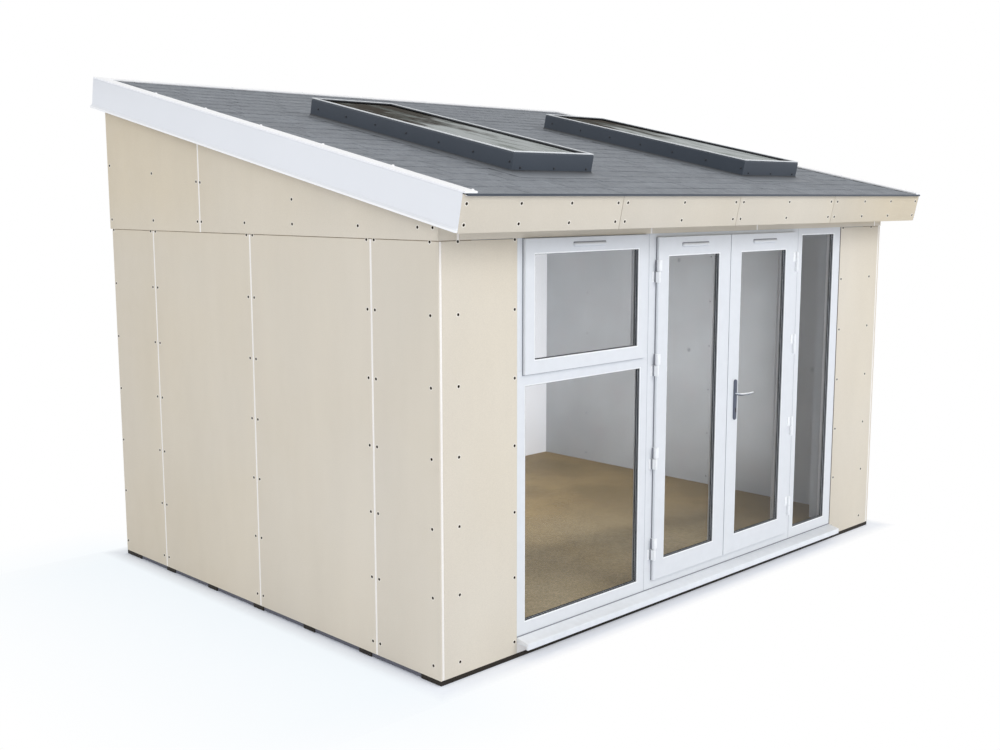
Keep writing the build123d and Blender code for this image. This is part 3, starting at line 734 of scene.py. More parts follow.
def block_piece(name, low, high, finish_name, body, slot, place=None):
    """A piece made of one plain box."""
    bm = bmesh.new()
    add_block(bm, low, high, place)
    return dress(object_from(name, bm), finish_name, body, slot)


def add_span(bm, xs, ys, zs):
    """Add a box between two values of X, in either order, two of Y and two of Z."""
    x0, x1 = sorted(xs)
    add_block(bm, (x0, ys[0], zs[0]), (x1, ys[1], zs[1]))


def add_lathe(bm, profile, centre, axis, steps=20):
    """Add a turned solid. profile lists (along, radius) from one end to the other."""
    axis = Vector(axis).normalized()
    side = axis.orthogonal().normalized()
    up = axis.cross(side)
    rings = []
    for along, radius in profile:
        middle = Vector(centre) + axis * along
        if radius < 1e-6:
            rings.append([bm.verts.new(middle)])
            continue
        ring = []
        for k in range(steps):
            turn = 2 * pi * k / steps
            ring.append(bm.verts.new(middle + side * (radius * cos(turn)) + up * (radius * sin(turn))))
        rings.append(ring)
    for near, far in zip(rings, rings[1:]):
        for k in range(steps):
            a, b = near[k % len(near)], near[(k + 1) % len(near)]
            c, d = far[(k + 1) % len(far)], far[k % len(far)]
            corners = []
            for v in (a, b, c, d):
                if v not in corners:
                    corners.append(v)
            if len(corners) > 2:
                bm.faces.new(corners)
    for ring in (rings[0], rings[-1]):
        if len(ring) > 2:
            bm.faces.new(ring)


def add_sweep(bm, points, half_width, half_height):
    """Add a bar of rounded oval section along a line of points, with closed ends."""
    steps, squareness = 14, 0.75
    up = Vector((0, 0, 1))
    rings = []
    count = len(points)
    for i, point in enumerate(points):
        along = (points[min(i + 1, count - 1)] - points[max(i - 1, 0)]).normalized()
        side = along.cross(up).normalized()
        over = side.cross(along).normalized()
        ring = []
        for k in range(steps):
            turn = 2 * pi * k / steps
            c, s = cos(turn), sin(turn)
            wide = half_width[i] * abs(c) ** squareness * (1 if c >= 0 else -1)
            tall = half_height[i] * abs(s) ** squareness * (1 if s >= 0 else -1)
            ring.append(bm.verts.new(point + side * wide + over * tall))
        rings.append(ring)
    join_rings(bm, rings)


def rect_of(low, high):
    return (low.x, high.x, low.z, high.z)


# ================================================================ Geometry Nodes that set copies on points
def copies_tree():
    """A node tree that sets a copy on each point, turned, sized and toned by the point's own values."""
    if "Set copies" in bpy.data.node_groups:
        return bpy.data.node_groups["Set copies"]
    tree = bpy.data.node_groups.new("Set copies", "GeometryNodeTree")
    tree.is_modifier = True
    face = tree.interface
    for name, kind in (
        ("Geometry", "Geometry"),
        ("Copy", "Object"),
        ("Finish", "Material"),
        ("Spin", "Float"),
        ("Unevenness", "Float"),
        ("Seed", "Int"),
    ):
        face.new_socket(name, in_out="INPUT", socket_type=f"NodeSocket{kind}")
    face.new_socket("Geometry", in_out="OUTPUT", socket_type="NodeSocketGeometry")
    given = node(tree, "NodeGroupInput").outputs
    shape = node(tree, "GeometryNodeObjectInfo", {"Object": given["Copy"], "As Instance": True}).outputs["Geometry"]
    turn = node(tree, "GeometryNodeInputNamedAttribute", {"Name": "turn"}, data_type="FLOAT_VECTOR").outputs[0]
    size = node(tree, "GeometryNodeInputNamedAttribute", {"Name": "size"}, data_type="FLOAT_VECTOR").outputs[0]
    facing = node(tree, "FunctionNodeEulerToRotation", {0: turn}).outputs[0]
    chance = node(tree, "FunctionNodeRandomValue", {"Seed": given["Seed"]}, data_type="FLOAT").outputs[1]
    angle = node(tree, "ShaderNodeMath", {0: chance, 1: given["Spin"]}, operation="MULTIPLY").outputs[0]
    spin = node(tree, "FunctionNodeAxisAngleToRotation", {"Axis": (0, 0, 1), "Angle": angle}).outputs[0]
    both = node(tree, "FunctionNodeRotateRotation", {0: facing, 1: spin}, rotation_space="LOCAL").outputs[0]
    where = {"Points": given["Geometry"], "Instance": shape, "Rotation": both, "Scale": size}
    copies = node(tree, "GeometryNodeInstanceOnPoints", where).outputs[0]
    tone = node(tree, "FunctionNodeRandomValue", {"Seed": given["Seed"]}, data_type="FLOAT").outputs[1]
    toned = node(
        tree,
        "GeometryNodeStoreNamedAttribute",
        {"Geometry": copies, "Name": "tone", "Value": tone},
        data_type="FLOAT",
        domain="INSTANCE",
    ).outputs[0]
    plain = node(tree, "GeometryNodeRealizeInstances", {0: toned}).outputs[0]
    ripple = node(tree, "ShaderNodeTexNoise", {"Scale": 9.0, "Detail": 2.0}).outputs["Color"]
    centred = node(tree, "ShaderNodeVectorMath", {0: ripple, 1: (0.5, 0.5, 0.5)}, operation="SUBTRACT").outputs[0]
    uneven = {0: centred, "Scale": given["Unevenness"]}
    offset = node(tree, "ShaderNodeVectorMath", uneven, operation="SCALE").outputs[0]
    moved = node(tree, "GeometryNodeSetPosition", {"Geometry": plain, "Offset": offset}).outputs[0]
    painted = node(tree, "GeometryNodeSetMaterial", {"Geometry": moved, "Material": given["Finish"]}).outputs[0]
    node(tree, "NodeGroupOutput", {"Geometry": painted})
    return tree


def set_copies(name, places, copy, finish_name, body, spin, uneven, seed):
    """Set a copy on each place with Geometry Nodes and make the result one plain mesh.
    A place is (point, turn as XYZ angles, size)."""
    mesh = bpy.data.meshes.new(name)
    mesh.from_pydata([p[0] for p in places], [], [])
    for attribute, index in (("turn", 1), ("size", 2)):
        data = mesh.attributes.new(attribute, "FLOAT_VECTOR", "POINT").data
        for k, place in enumerate(places):
            data[k].vector = place[index]
    piece = bpy.data.objects.new(name, mesh)
    bpy.context.scene.collection.objects.link(piece)
    tree = copies_tree()
    modifier = piece.modifiers.new("Copies", "NODES")
    modifier.node_group = tree
    finish_made = get_finish(finish_name)
    values = {"Copy": copy, "Finish": finish_made, "Spin": spin, "Unevenness": uneven, "Seed": seed}
    for item in tree.interface.items_tree:
        if item.in_out == "INPUT" and item.name in values:
            modifier[item.identifier] = values[item.name]
    settle(piece)
    if not piece.data.polygons:
        raise RuntimeError(f"{name} has no copies")
    for extra in ("turn", "size"):
        if extra in piece.data.attributes:
            piece.data.attributes.remove(piece.data.attributes[extra])
    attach(piece, body)
    bpy.data.objects.remove(copy)
    return piece


# Ways that a copy's own Z axis can face
TO_FRONT = (pi / 2, 0.0, 0.0)
TO_BACK = (-pi / 2, 0.0, 0.0)
TO_LEFT = (0.0, -pi / 2, 0.0)
TO_RIGHT = (0.0, pi / 2, 0.0)
UP_THE_ROOF = (PITCH, 0.0, 0.0)
ALONG_EAVE = (PITCH + pi / 2, 0.0, 0.0)
UP_THE_BACK = (PITCH - pi / 2, 0.0, 0.0)
ONE = (1.0, 1.0, 1.0)


def screw_head(radius, ring_radius, rise):
    """A countersunk head with a dished middle, inside a thin ring of filler where that is wider."""
    middle, upward, steps = (0, 0, 0), (0, 0, 1), 14
    bm = bmesh.new()
    ring_layer = bm.faces.layers.float.new("ring")
    if ring_radius > radius:
        filler = [(0.0, ring_radius), (rise * 0.2, ring_radius * 0.93), (rise * 0.25, radius * 0.9)]
        add_lathe(bm, filler, middle, upward, steps)
    for face in bm.faces:
        face[ring_layer] = 1.0
    head = [(0.0, radius), (rise * 0.7, radius * 0.86), (rise, radius * 0.5)]
    dish = [(rise * 0.5, radius * 0.42), (rise * 0.35, 0.0)]
    add_lathe(bm, head + dish, middle, upward, steps)
    return object_from("screw_head_pattern", bm)


# ================================================================ pieces
class PodOperator:
    """Shared by the pieces: each is one undo step and always runs to the end."""

    bl_options = {"REGISTER", "UNDO"}

    def execute(self, context):
        self.make(context)
        return {"FINISHED"}


class POD_OT_boards(PodOperator, bpy.types.Operator):
    """Wall boards, fascia, soffit, joint strips and corner trims"""

    bl_idname = "pod.boards"
    bl_label = "Boards"

    def make(self, context):
        boards = context.scene.pod_boards
        for number, (node_name, piece_name, slot) in enumerate(
            (
                ("left_cladding", "left_wall_boards", "cladding"),
                ("right_cladding", "right_wall_boards", "cladding"),
                ("back_cladding", "back_wall_boards", "cladding"),
                ("front_cladding", "front_wall_boards", "cladding"),
                ("fascia_boards", "fascia_boards_face", "fascia"),
                ("back_eave_board", "back_eave_face", "fascia"),
                ("front_soffit", "front_soffit_board", "fascia"),
            )
        ):
            softened_copy(node_name, piece_name, "boards", "pod", slot, boards.edge_round, seed=number + 3)
        softened_copy("corner_trims", "corner_posts", "strips", "pod", "white_trim", boards.edge_round)
        paint_node("joint_strips", "strips")


LOWER_BOARDS = 1.0  # boards that start below this height stand on the ground


def joint_height(boards):
    """Height of the joint over the lower boards."""
    return max(high.z for low, high in boards if low.z < LOWER_BOARDS)


def rows_up_to(top, fixings):
    rows = []
    height = fixings.first_row
    while height < top:
        rows.append(height)
        height += fixings.row_pitch
    return rows


def roof_edge_height(y):
    """Height of the verge board's lower edge on the wall at depth y."""
    return EAVE.z + (y - EAVE.y) * tan(PITCH) - BARGE_DEPTH / cos(PITCH)


class POD_OT_screws(PodOperator, bpy.types.Operator):
    """Screws in the wall boards and the fascia"""

    bl_idname = "pod.screws"
    bl_label = "Board screws"

    def make(self, context):
        fixings = context.scene.pod_fixings
        places = []
        for node_name, turn in (("left_cladding", TO_LEFT), ("right_cladding", TO_RIGHT)):
            places += self.side_wall(node_name, turn, fixings)
        places += self.back_wall(fixings)
        places += self.front_piers(fixings)
        places += self.fascia()
        head = screw_head(fixings.head_radius, fixings.ring_radius, fixings.head_rise)
        set_copies("board_screws", places, head, "screw", "pod", 2 * pi, 0.0, fixings.seed)

    def columns(self, start, stop, low_end, high_end, fixings):
        """Screw columns near both edges of a board; wall corners have their own inset."""
        near = 0.03
        first = fixings.front_inset if abs(start - low_end) < near else fixings.edge_inset
        last = fixings.back_inset if abs(stop - high_end) < near else fixings.edge_inset
        return start + first, stop - last

    def side_wall(self, node_name, turn, fixings):
        """Columns in the large boards, and one or two rows in the gable boards over them."""
        left = turn is TO_LEFT
        front_offsets = (0.033, 0.136, 0.567, 1.103, 1.538, 1.971)
        back_offsets = (0.016, 0.509, 1.017)
        single = 1.538
        row_over_joint, rows_apart, second_drop = 0.061, 0.12, 0.004
        places = []
        boards = solid_boxes(node_name)
        joint = joint_height(boards)
        for low, high in boards:
            x = low.x if left else high.x
            if low.z < LOWER_BOARDS:
                for y in self.columns(low.y, high.y, FRONT, BACK_FACE, fixings):
                    for z in rows_up_to(joint, fixings):
                        places.append(((x, y, z), turn, ONE))
                continue
            first_row = joint + row_over_joint
            for offset in front_offsets if low.y < 0 else back_offsets:
                y = low.y + offset
                places.append(((x, y, first_row), turn, ONE))
                second_row = (first_row + roof_edge_height(y)) / 2 - second_drop
                if second_row - first_row > rows_apart and offset != single:
                    places.append(((x, y, second_row), turn, ONE))
        return places

    def back_wall(self, fixings):
        places = []
        boards = solid_boxes("back_cladding")
        joint = joint_height(boards)
        upper_rows = [joint + 0.052 + fixings.row_pitch * k for k in range(2)]
        for low, high in boards:
            for x in self.columns(low.x, high.x, LEFT_FACE, RIGHT_FACE, fixings):
                for z in rows_up_to(joint, fixings) if low.z < LOWER_BOARDS else upper_rows:
                    places.append(((x, high.y, z), TO_BACK, ONE))
        return places

    def front_piers(self, fixings):
        """Two columns on each pier, and one screw over each in the band under the eave."""
        left_inner, right_inner, outer, band_inset, over_joint = 0.017, 0.017 + 0.014, 0.098, 0.088, 0.047
        places = []
        piers = [b for b in solid_boxes("front_cladding") if b[0].z < LOWER_BOARDS]
        joint = piers[0][1].z
        band_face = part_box("front_cladding")[0].y
        for low, high in piers:
            left = low.x < 0
            for x in (low.x + outer, high.x - left_inner) if left else (low.x + right_inner, high.x - outer):
                for z in rows_up_to(joint, fixings):
                    places.append(((x, low.y, z), TO_FRONT, ONE))
            x = low.x + band_inset if left else high.x - band_inset
            places.append(((x, band_face, joint + over_joint), TO_FRONT, ONE))
        return places

    def fascia(self):
        """Pairs of screws at both ends of each board and between them, with one more pair in the end boards."""
        inset, first_inset, row_depths = 0.035, 0.030, (-0.047, -0.14)
        places = []
        boards = solid_boxes("fascia_boards")
        for number, (low, high) in enumerate(boards):
            first = low.x + (first_inset if number == 0 else inset)
            last = high.x - inset
            gaps = 3 if number in (0, len(boards) - 1) else 2
            for k in range(gaps + 1):
                x = first + (last - first) * k / gaps
                for n in row_depths:
                    places.append((on_roof(x, 0.0, n), ALONG_EAVE, ONE))
        return places


class POD_OT_roof(PodOperator, bpy.types.Operator):
    """Felt shingles, underlay and eave drip"""

    bl_idname = "pod.roof"
    bl_label = "Roof covering"

    def make(self, context):
        roof = context.scene.pod_roof
        low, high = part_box("roof_covering")
        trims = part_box("roof_edge_trims")
        kerbs = [kerb_rect(name) for name in ("skylight_left_frame", "skylight_right_frame")]
        self.underlay(low, high, kerbs)
        places = self.lay(roof, trims[0].x + roof.side_trim, trims[1].x - roof.side_trim, kerbs)
        tab = self.tab_pattern(roof)
        set_copies("roof_shingles", places, tab, "felt", "pod", 0.0, 0.0035, roof.seed)

    def underlay(self, low, high, kerbs):
        """Flat felt under the shingles, cut round the rooflight wells, and the dark drip and white edge at the eave."""
        eave_lap, under, over = -0.014, -0.0075, -0.0048
        xs = [low.x] + [x for k in kerbs for x in (k[0] + KERB_WALL, k[1] - KERB_WALL)] + [high.x]
        s0, s1 = kerbs[0][2] + KERB_WALL, kerbs[0][3] - KERB_WALL
        whole, split = [(eave_lap, ROOF_LENGTH)], [(eave_lap, s0), (s1, ROOF_LENGTH)]
        bm = bmesh.new()
        for i in range(len(xs) - 1):
            for start, stop in split if i % 2 else whole:
                add_block(bm, (xs[i], start, under), (xs[i + 1], stop, over), on_roof)
        dress(object_from("roof_underlay", bm), "underlay", "pod", "roof_covering", "roof_covering")

        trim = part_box("roof_edge_trims")
        trim_inset, drip_shift = 0.02, 0.004
        outline = [
            (-0.002, 0.0),
            (-0.0175, -0.0005),
            (-0.0185, -0.011),
            (-0.0155, -0.011),
            (-0.0145, -0.0035),
            (-0.002, -0.0035),
        ]
        bm = bmesh.new()
        ends = []
        for x in (trim[0].x + trim_inset, trim[1].x - trim_inset):
            ends.append([bm.verts.new(on_roof(x, s + drip_shift, n)) for s, n in outline])
        join_rings(bm, ends)
        dress(object_from("eave_drip", bm), "metal", "pod", "dark_metal")
        edge_low, edge_high = (low.x + 0.001, -0.0022, -0.0125), (high.x - 0.001, 0.001, -0.0065)
        block_piece("eave_white_edge", edge_low, edge_high, "verge_cap", "pod", "barge_white", on_roof)

    def lay(self, roof, x_start, x_stop, kerbs):
        """Places of the tabs, row by row, cut round the rooflight kerbs."""
        eave_lap, overlap, shortest_row, narrowest_tab = 0.012, 1.12, 0.03, 0.02
        pick = random.Random(roof.seed)
        top = ROOF_LENGTH - roof.back_trim
        places = []
        for row in range(int(top / roof.course) + 1):
            s0 = row * roof.course - eave_lap
            s1 = min(s0 + roof.course * overlap, top)
            if s1 - s0 < shortest_row:
                continue
            x = x_start - (row * roof.stagger) % roof.tab
            while x < x_stop:
                a, b = max(x, x_start) + roof.slot / 2, min(x + roof.tab, x_stop) - roof.slot / 2
                x += roof.tab
                if b - a < narrowest_tab:
                    continue
                for a1, b1, c1, d1 in self.cut(a, b, s0, s1, kerbs):
                    lift = -0.0026 + pick.uniform(-0.0002, 0.0004)
                    lean = roof.thickness / (roof.course * 1.05) + pick.uniform(-0.002, 0.003)
                    point = on_roof((a1 + b1) / 2, c1, lift + roof.thickness)
                    turn = (PITCH - lean, 0.0, pick.uniform(-0.002, 0.002))
                    places.append((point, turn, (b1 - a1, d1 - c1, 1.0)))
        return places

    def cut(self, a, b, c, d, kerbs):
        """Pieces of a tab that are left outside the kerbs."""
        smallest = 0.012
        pieces = [(a, b, c, d)]
        for x0, x1, s0, s1 in kerbs:
            after = []
            for a, b, c, d in pieces:
                if b <= x0 or a >= x1 or d <= s0 or c >= s1:
                    after.append((a, b, c, d))
                    continue
                if a < x0:
                    after.append((a, x0, c, d))
                if b > x1:
                    after.append((x1, b, c, d))
                if c < s0:
                    after.append((max(a, x0), min(b, x1), c, s0))
                if d > s1:
                    after.append((max(a, x0), min(b, x1), s1, d))
            pieces = after
        return [p for p in pieces if p[1] - p[0] > smallest and p[3] - p[2] > smallest]

    def tab_pattern(self, roof):
        """One tab of unit width and length with a thin chamfered lower edge, its origin at that edge."""
        steps, thick = 8, roof.thickness
        profile = ((0.0, -thick), (0.002, -thick * 0.3), (0.01, 0.0), (1.0, 0.0), (1.0, -thick))
        bm = bmesh.new()
        join_rings(bm, [[bm.verts.new((-0.5 + k / steps, y, z)) for y, z in profile] for k in range(steps + 1)])
        return object_from("tab_pattern", bm)


class POD_OT_verges(PodOperator, bpy.types.Operator):
    """White verge boards, their top trims and nails"""

    bl_idname = "pod.verges"
    bl_label = "Verges"

    def make(self, context):
        roof = context.scene.pod_roof
        edge = 0.0022
        softened_copy("bargeboards", "verge_boards", "verge", "pod", "barge_white", edge)
        low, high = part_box("roof_edge_trims")
        left, right = low.x + roof.side_trim, high.x - roof.side_trim
        start, rise, fit = -0.014, 0.01, 0.0003
        back, back_rise = ROOF_LENGTH - roof.back_trim, rise * 0.9
        bm = bmesh.new()
        add_block(bm, (low.x, start, 0.0), (left, ROOF_LENGTH, rise), on_roof)
        add_block(bm, (right, start, 0.0), (high.x, ROOF_LENGTH, rise), on_roof)
        add_block(bm, (left + fit, back, 0.0), (right - fit, ROOF_LENGTH, back_rise), on_roof)
        piece = soften(object_from("verge_trims", bm), edge)
        dress(piece, "verge_cap", "pod", "barge_white", "roof_edge_trims")

        side_inset, first_nail, back_inset, back_margin, back_gaps = 0.009, 0.011, 0.012, 0.3, 6
        places = []
        for x in (left - side_inset, right + side_inset):
            for k in range(int(ROOF_LENGTH / roof.nail_pitch) + 1):
                places.append((on_roof(x, first_nail + k * roof.nail_pitch, rise), UP_THE_ROOF, ONE))
        for k in range(back_gaps + 1):
            x = left + back_margin + (right - left - 2 * back_margin) * k / back_gaps
            places.append((on_roof(x, back + back_inset, back_rise), UP_THE_ROOF, ONE))
        head = screw_head(0.0075, 0.0, 0.005)
        set_copies("verge_nails", places, head, "verge_cap", "pod", 2 * pi, 0.0, roof.seed)


class POD_OT_rooflights(PodOperator, bpy.types.Operator):
    """Rooflight kerbs, skirts, linings, panes and screws"""

    bl_idname = "pod.rooflights"
    bl_label = "Rooflights"

    def make(self, context):
        settings = context.scene.pod_rooflights
        glazing = context.scene.pod_glazing
        rebate, screw_seed = 0.0325, 5
        glass, spacers, skirts, rims, screws = bmesh.new(), bmesh.new(), bmesh.new(), bmesh.new(), []
        skirts.verts.layers.float.new("rise")
        for side in ("left", "right"):
            name = f"skylight_{side}_frame"
            rect = kerb_rect(name)
            self.kerb(name, side, rect)
            self.panes(glass, spacers, shrunk(rect, rebate), glazing)
            self.skirt(skirts, rect, settings)
            self.rim(rims, rect)
            screws += self.screw_places(rect, settings)
        dress(object_from("rooflight_panes", glass), "roof_glass", "pod", "glass", "skylight_glass")
        dress(object_from("rooflight_spacers", spacers), "black_seal", "pod", "dark_metal")
        dress(soften(object_from("rooflight_rims", rims), 0.0006), "rim", "pod", "dark_metal")
        dress(smooth(object_from("rooflight_skirts", skirts)), "skirt", "pod", "dark_metal", "skylight_flashings")
        head = screw_head(0.006, 0.0, 0.004)
        set_copies("rooflight_screws", screws, head, "cap_screw", "pod", 2 * pi, 0.0, screw_seed)

    def kerb(self, name, side, rect):
        """Folded metal kerb with a rebate for the glass."""
        profile = (
            ("out", 0.0, -KERB_HEIGHT),
            ("out", 0.0, -0.012),
            ("out", 0.0022, -0.010),
            ("out", 0.0022, -0.0025),
            ("out", 0.032, -0.0025),
            ("out", 0.032, -0.024),
            ("in", 0.0, -0.024),
            ("in", 0.0, -KERB_HEIGHT),
        )
        section = [(edge, inset, KERB_HEIGHT + drop) for edge, inset, drop in profile]
        rings = [({"out": rect, "in": shrunk(rect, KERB_WALL)}, section)]
        ring_piece(f"rooflight_{side}_kerb", rings, 0.0012, "metal", "pod", "dark_metal", name, place=on_roof)

    def rim(self, bm, rect):
        """Slim aluminium bar that caps the kerb and holds the glass down."""
        profile = (
            (0.001, -0.0052),
            (0.001, -0.001),
            (0.003, 0.0),
            (0.013, 0.0),
            (0.0145, -0.0024),
            (0.0021, -0.0024),
            (0.0021, -0.0052),
        )
        add_ring(bm, {"out": rect}, [("out", inset, KERB_HEIGHT + drop) for inset, drop in profile], on_roof)

    def panes(self, glass, spacers, rect, glazing):
        """Two sheets of glass, the spacer between them and a seal round the upper one."""
        top, thick, spacer, seal, seal_top = 0.101, 0.018, 0.018, 0.0025, 0.107
        x0, x1, s0, s1 = rect
        for n in (top - glazing.pane, top - thick):
            add_block(glass, (x0, s0, n), (x1, s1, n + glazing.pane), on_roof)
        for inset, low, high in (
            (spacer, top - thick + glazing.pane, top - glazing.pane),
            (seal, top, seal_top),
        ):
            add_ring(spacers, {"out": rect, "in": shrunk(rect, inset)}, flat_section(high, low), on_roof)

    def skirt(self, bm, rect, settings):
        """Flashing that curves from the kerb down over the felt: narrow beside and behind it, with an apron
        down the slope that flares at its corners. Each point keeps how high it has risen."""
        steps, clear, lip, widest_flare = 6, 0.001, 0.0009, 0.02
        sheet, lowest = 0.0006, 0.0002
        x0, x1, s0, s1 = rect
        top, under = [], []
        for k in range(steps + 1):
            turn = k / steps * pi / 2
            out = 1 - cos(turn)
            up = lip + (settings.skirt_rise - lip) * (1 - sin(turn))
            side = clear + settings.skirt_spread * out
            front = s0 - clear - settings.apron * out ** 1.5
            wide = side + widest_flare * out ** 2
            corners = ((x0 - wide, front), (x1 + wide, front), (x1 + side, s1 + side), (x0 - side, s1 + side))
            for rows, drop in ((top, 0.0), (under, sheet)):
                rows.append([bm.verts.new(on_roof(x, s, max(up - drop, lowest))) for x, s in corners])
        loops = top + under[::-1]
        join_rings(bm, loops, around=True)
        # how high each point has risen sets the painted shade at the kerb foot in the skirt finish
        layer = bm.verts.layers.float["rise"]
        for ring in loops:
            for corner in ring:
                corner[layer] = min(1.0, max(0.0, height_over_roof(corner.co) / settings.skirt_rise))

    def screw_places(self, rect, settings):
        """A row along each side of the kerb, and three lower down at its front and back."""
        side_start, end_start, end_margin, end_drop, end_gaps = 0.02, 0.06, 0.107, 0.026, 2
        x0, x1, s0, s1 = rect
        height = settings.screw_height
        places = []
        for k in range(int((s1 - s0) / settings.screw_pitch) + 1):
            s = s0 + side_start + k * settings.screw_pitch
            places.append((on_roof(x0, s, height), TO_LEFT, ONE))
            places.append((on_roof(x1, s, height), TO_RIGHT, ONE))
        for k in range(end_gaps + 1):
            x = x0 + end_start + (x1 - x0 - end_margin) * k / end_gaps
            places.append((on_roof(x, s0, height - end_drop), ALONG_EAVE, ONE))
            places.append((on_roof(x, s1, height - end_drop), UP_THE_BACK, ONE))
        return places


def inner_slope(outer, inner, glazing):
    """Width of the slope behind the pane, less where the frame itself is narrow."""
    rails = (inner[0] - outer[0], outer[1] - inner[1], inner[2] - outer[2], outer[3] - inner[3])
    return min(glazing.inner_slope, 0.85 * min(rails))


def fixed_section(rects, front, back, glazing):
    """Profile of a fixed outer frame: flat face, sloping bead, sloping inner side behind the pane."""
    slope = inner_slope(rects["out"], rects["in"], glazing)
    return [
        ("out", 0.0, front),
        ("in", glazing.bead, front),
        ("in", 0.0, front + glazing.bead_fall),
        ("in", 0.0, back - glazing.inner_depth),
        ("in", slope, back),
        ("out", 0.0, back),
    ]


def opening_section(rects, front, step, back, glazing):
    """Profile of a sash or door leaf: a face that laps the frame and a narrower body behind it."""
    slope = inner_slope(rects["body"], rects["in"], glazing)
    return [
        ("out", 0.0, front),
        ("in", glazing.bead, front),
        ("in", 0.0, front + glazing.bead_fall),
        ("in", 0.0, back - glazing.inner_depth),
        ("in", slope, back),
        ("body", 0.0, back),
        ("body", 0.0, step),
        ("out", 0.0, step),
    ]


class GlazingParts:
    """Meshes that the sealed units of one frame or leaf share."""

    def __init__(self):
        self.glass, self.spacers, self.seals, self.highlight_strips = (bmesh.new() for _ in range(4))
        self.spacers.faces.layers.float.new("bar")

    def add_unit(self, low, high, front, glazing):
        """Add two panes, the spacer between them, the rubber seals and a brighter strip of painted highlight on the
        bead's lip in front.
        """
        fit, shade_strip_depth = 0.0002, 0.0016
        rect = rect_of(low, high)
        x0, x1, z0, z1 = shrunk(rect, fit)
        for y in (low.y, high.y - glazing.pane):
            add_block(self.glass, (x0, y, z0), (x1, y + glazing.pane, z1))
        near, far = low.y + glazing.pane, high.y - glazing.pane
        rects = {"out": rect, "in": shrunk(rect, glazing.spacer)}
        bars = self.spacers.faces.layers.float["bar"]
        for start, stop, bar in ((0.0, 0.40, 0.5), (0.40, 0.58, 1.0), (0.58, 1.0, 0.0)):
            already = len(self.spacers.faces)
            add_ring(self.spacers, rects, flat_section(near + (far - near) * start, near + (far - near) * stop))
            self.spacers.faces.ensure_lookup_table()
            for face in self.spacers.faces[already:]:
                face[bars] = bar
        for start, stop in ((low.y - shade_strip_depth, low.y), (high.y, high.y + shade_strip_depth)):
            add_ring(self.seals, {"out": rect, "in": shrunk(rect, glazing.gasket)}, flat_section(start, stop))
        # painted highlight: a thin brighter strip on the bead's lip
        width, under, over = 0.0058, 0.0008, 0.0006
        inner = front + glazing.bead_fall
        outer = front + glazing.bead_fall * (1 - width / glazing.bead)
        corners = ((0.0, inner - under), (width, outer - under), (width, outer + over), (0.0, inner + over))
        add_ring(self.highlight_strips, {"in": rect}, [("in", inset, y) for inset, y in corners])

    def finish(self, name, body, *replaced):
        dress(object_from(f"{name}_panes", self.glass), "glass", body, "glass", *replaced)
        dress(object_from(f"{name}_spacers", self.spacers), "spacer", body, "dark_metal")
        dress(object_from(f"{name}_seals", self.seals), "rubber", body, "dark_metal")
        dress(object_from(f"{name}_bead_lips", self.highlight_strips), "highlight_white", body, "frame_white")


def add_slot_outline(bm, rect, front, back):
    """Add a thin plate with rounded ends."""
    x0, x1, z0, z1 = rect
    radius, steps = (z1 - z0) / 2, 6
    outline = []
    for centre, start in ((x1 - radius, -pi / 2), (x0 + radius, pi / 2)):
        for k in range(steps + 1):
            turn = start + pi * k / steps
            outline.append((centre + radius * cos(turn), (z0 + z1) / 2 + radius * sin(turn)))
    join_rings(bm, [[bm.verts.new((x, y, z)) for x, z in outline] for y in (front, back)])


def gap_line(rect, front, back, width):
    """A flat ring of the given width round a rectangle, as rectangles and section."""
    return {"in": rect}, [("in", 0.0, front), ("in", width, front), ("in", width, back), ("in", 0.0, back)]


def canopy(name, node_name, body):
    """Trickle vent hood: a long shell with rounded ends, and a thin grey line over it that is the painted shade of its
    slot.
    """
    steps, arc_steps = 40, 8
    end_round, end_share = 0.012, 0.35
    low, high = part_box(node_name)
    x0, x1 = low.x, high.x
    middle = (low.z + high.z) / 2
    bm = bmesh.new()
    rings = []
    for k in range(steps + 1):
        x = x0 + (x1 - x0) * k / steps
        inwards = min(1.0, (min(x - x0, x1 - x) + 0.0006) / end_round)
        size = end_share + (1 - end_share) * (1 - (1 - inwards) ** 2) ** 0.5
        reach, half = (high.y - low.y) * size, (high.z - low.z) / 2 * size
        ring = []
        for step in range(arc_steps + 1):
            turn = pi / 2 - step * pi / arc_steps
            ring.append(bm.verts.new((x, high.y - reach * cos(turn) ** 0.7, middle + half * sin(turn))))
        rings.append(ring)
    join_rings(bm, rings)
    dress(smooth(object_from(name, bm)), "plastic", body, "frame_white", node_name)
    # painted shade: a grey plate where the vent's slot opens
    bm = bmesh.new()
    add_slot_outline(bm, (x0 - 0.001, x1 + 0.001, high.z - 0.004, high.z + 0.005), high.y - 0.0012, high.y)
    dress(object_from(f"{name}_slot", bm), "joint_line", body, "frame_white")


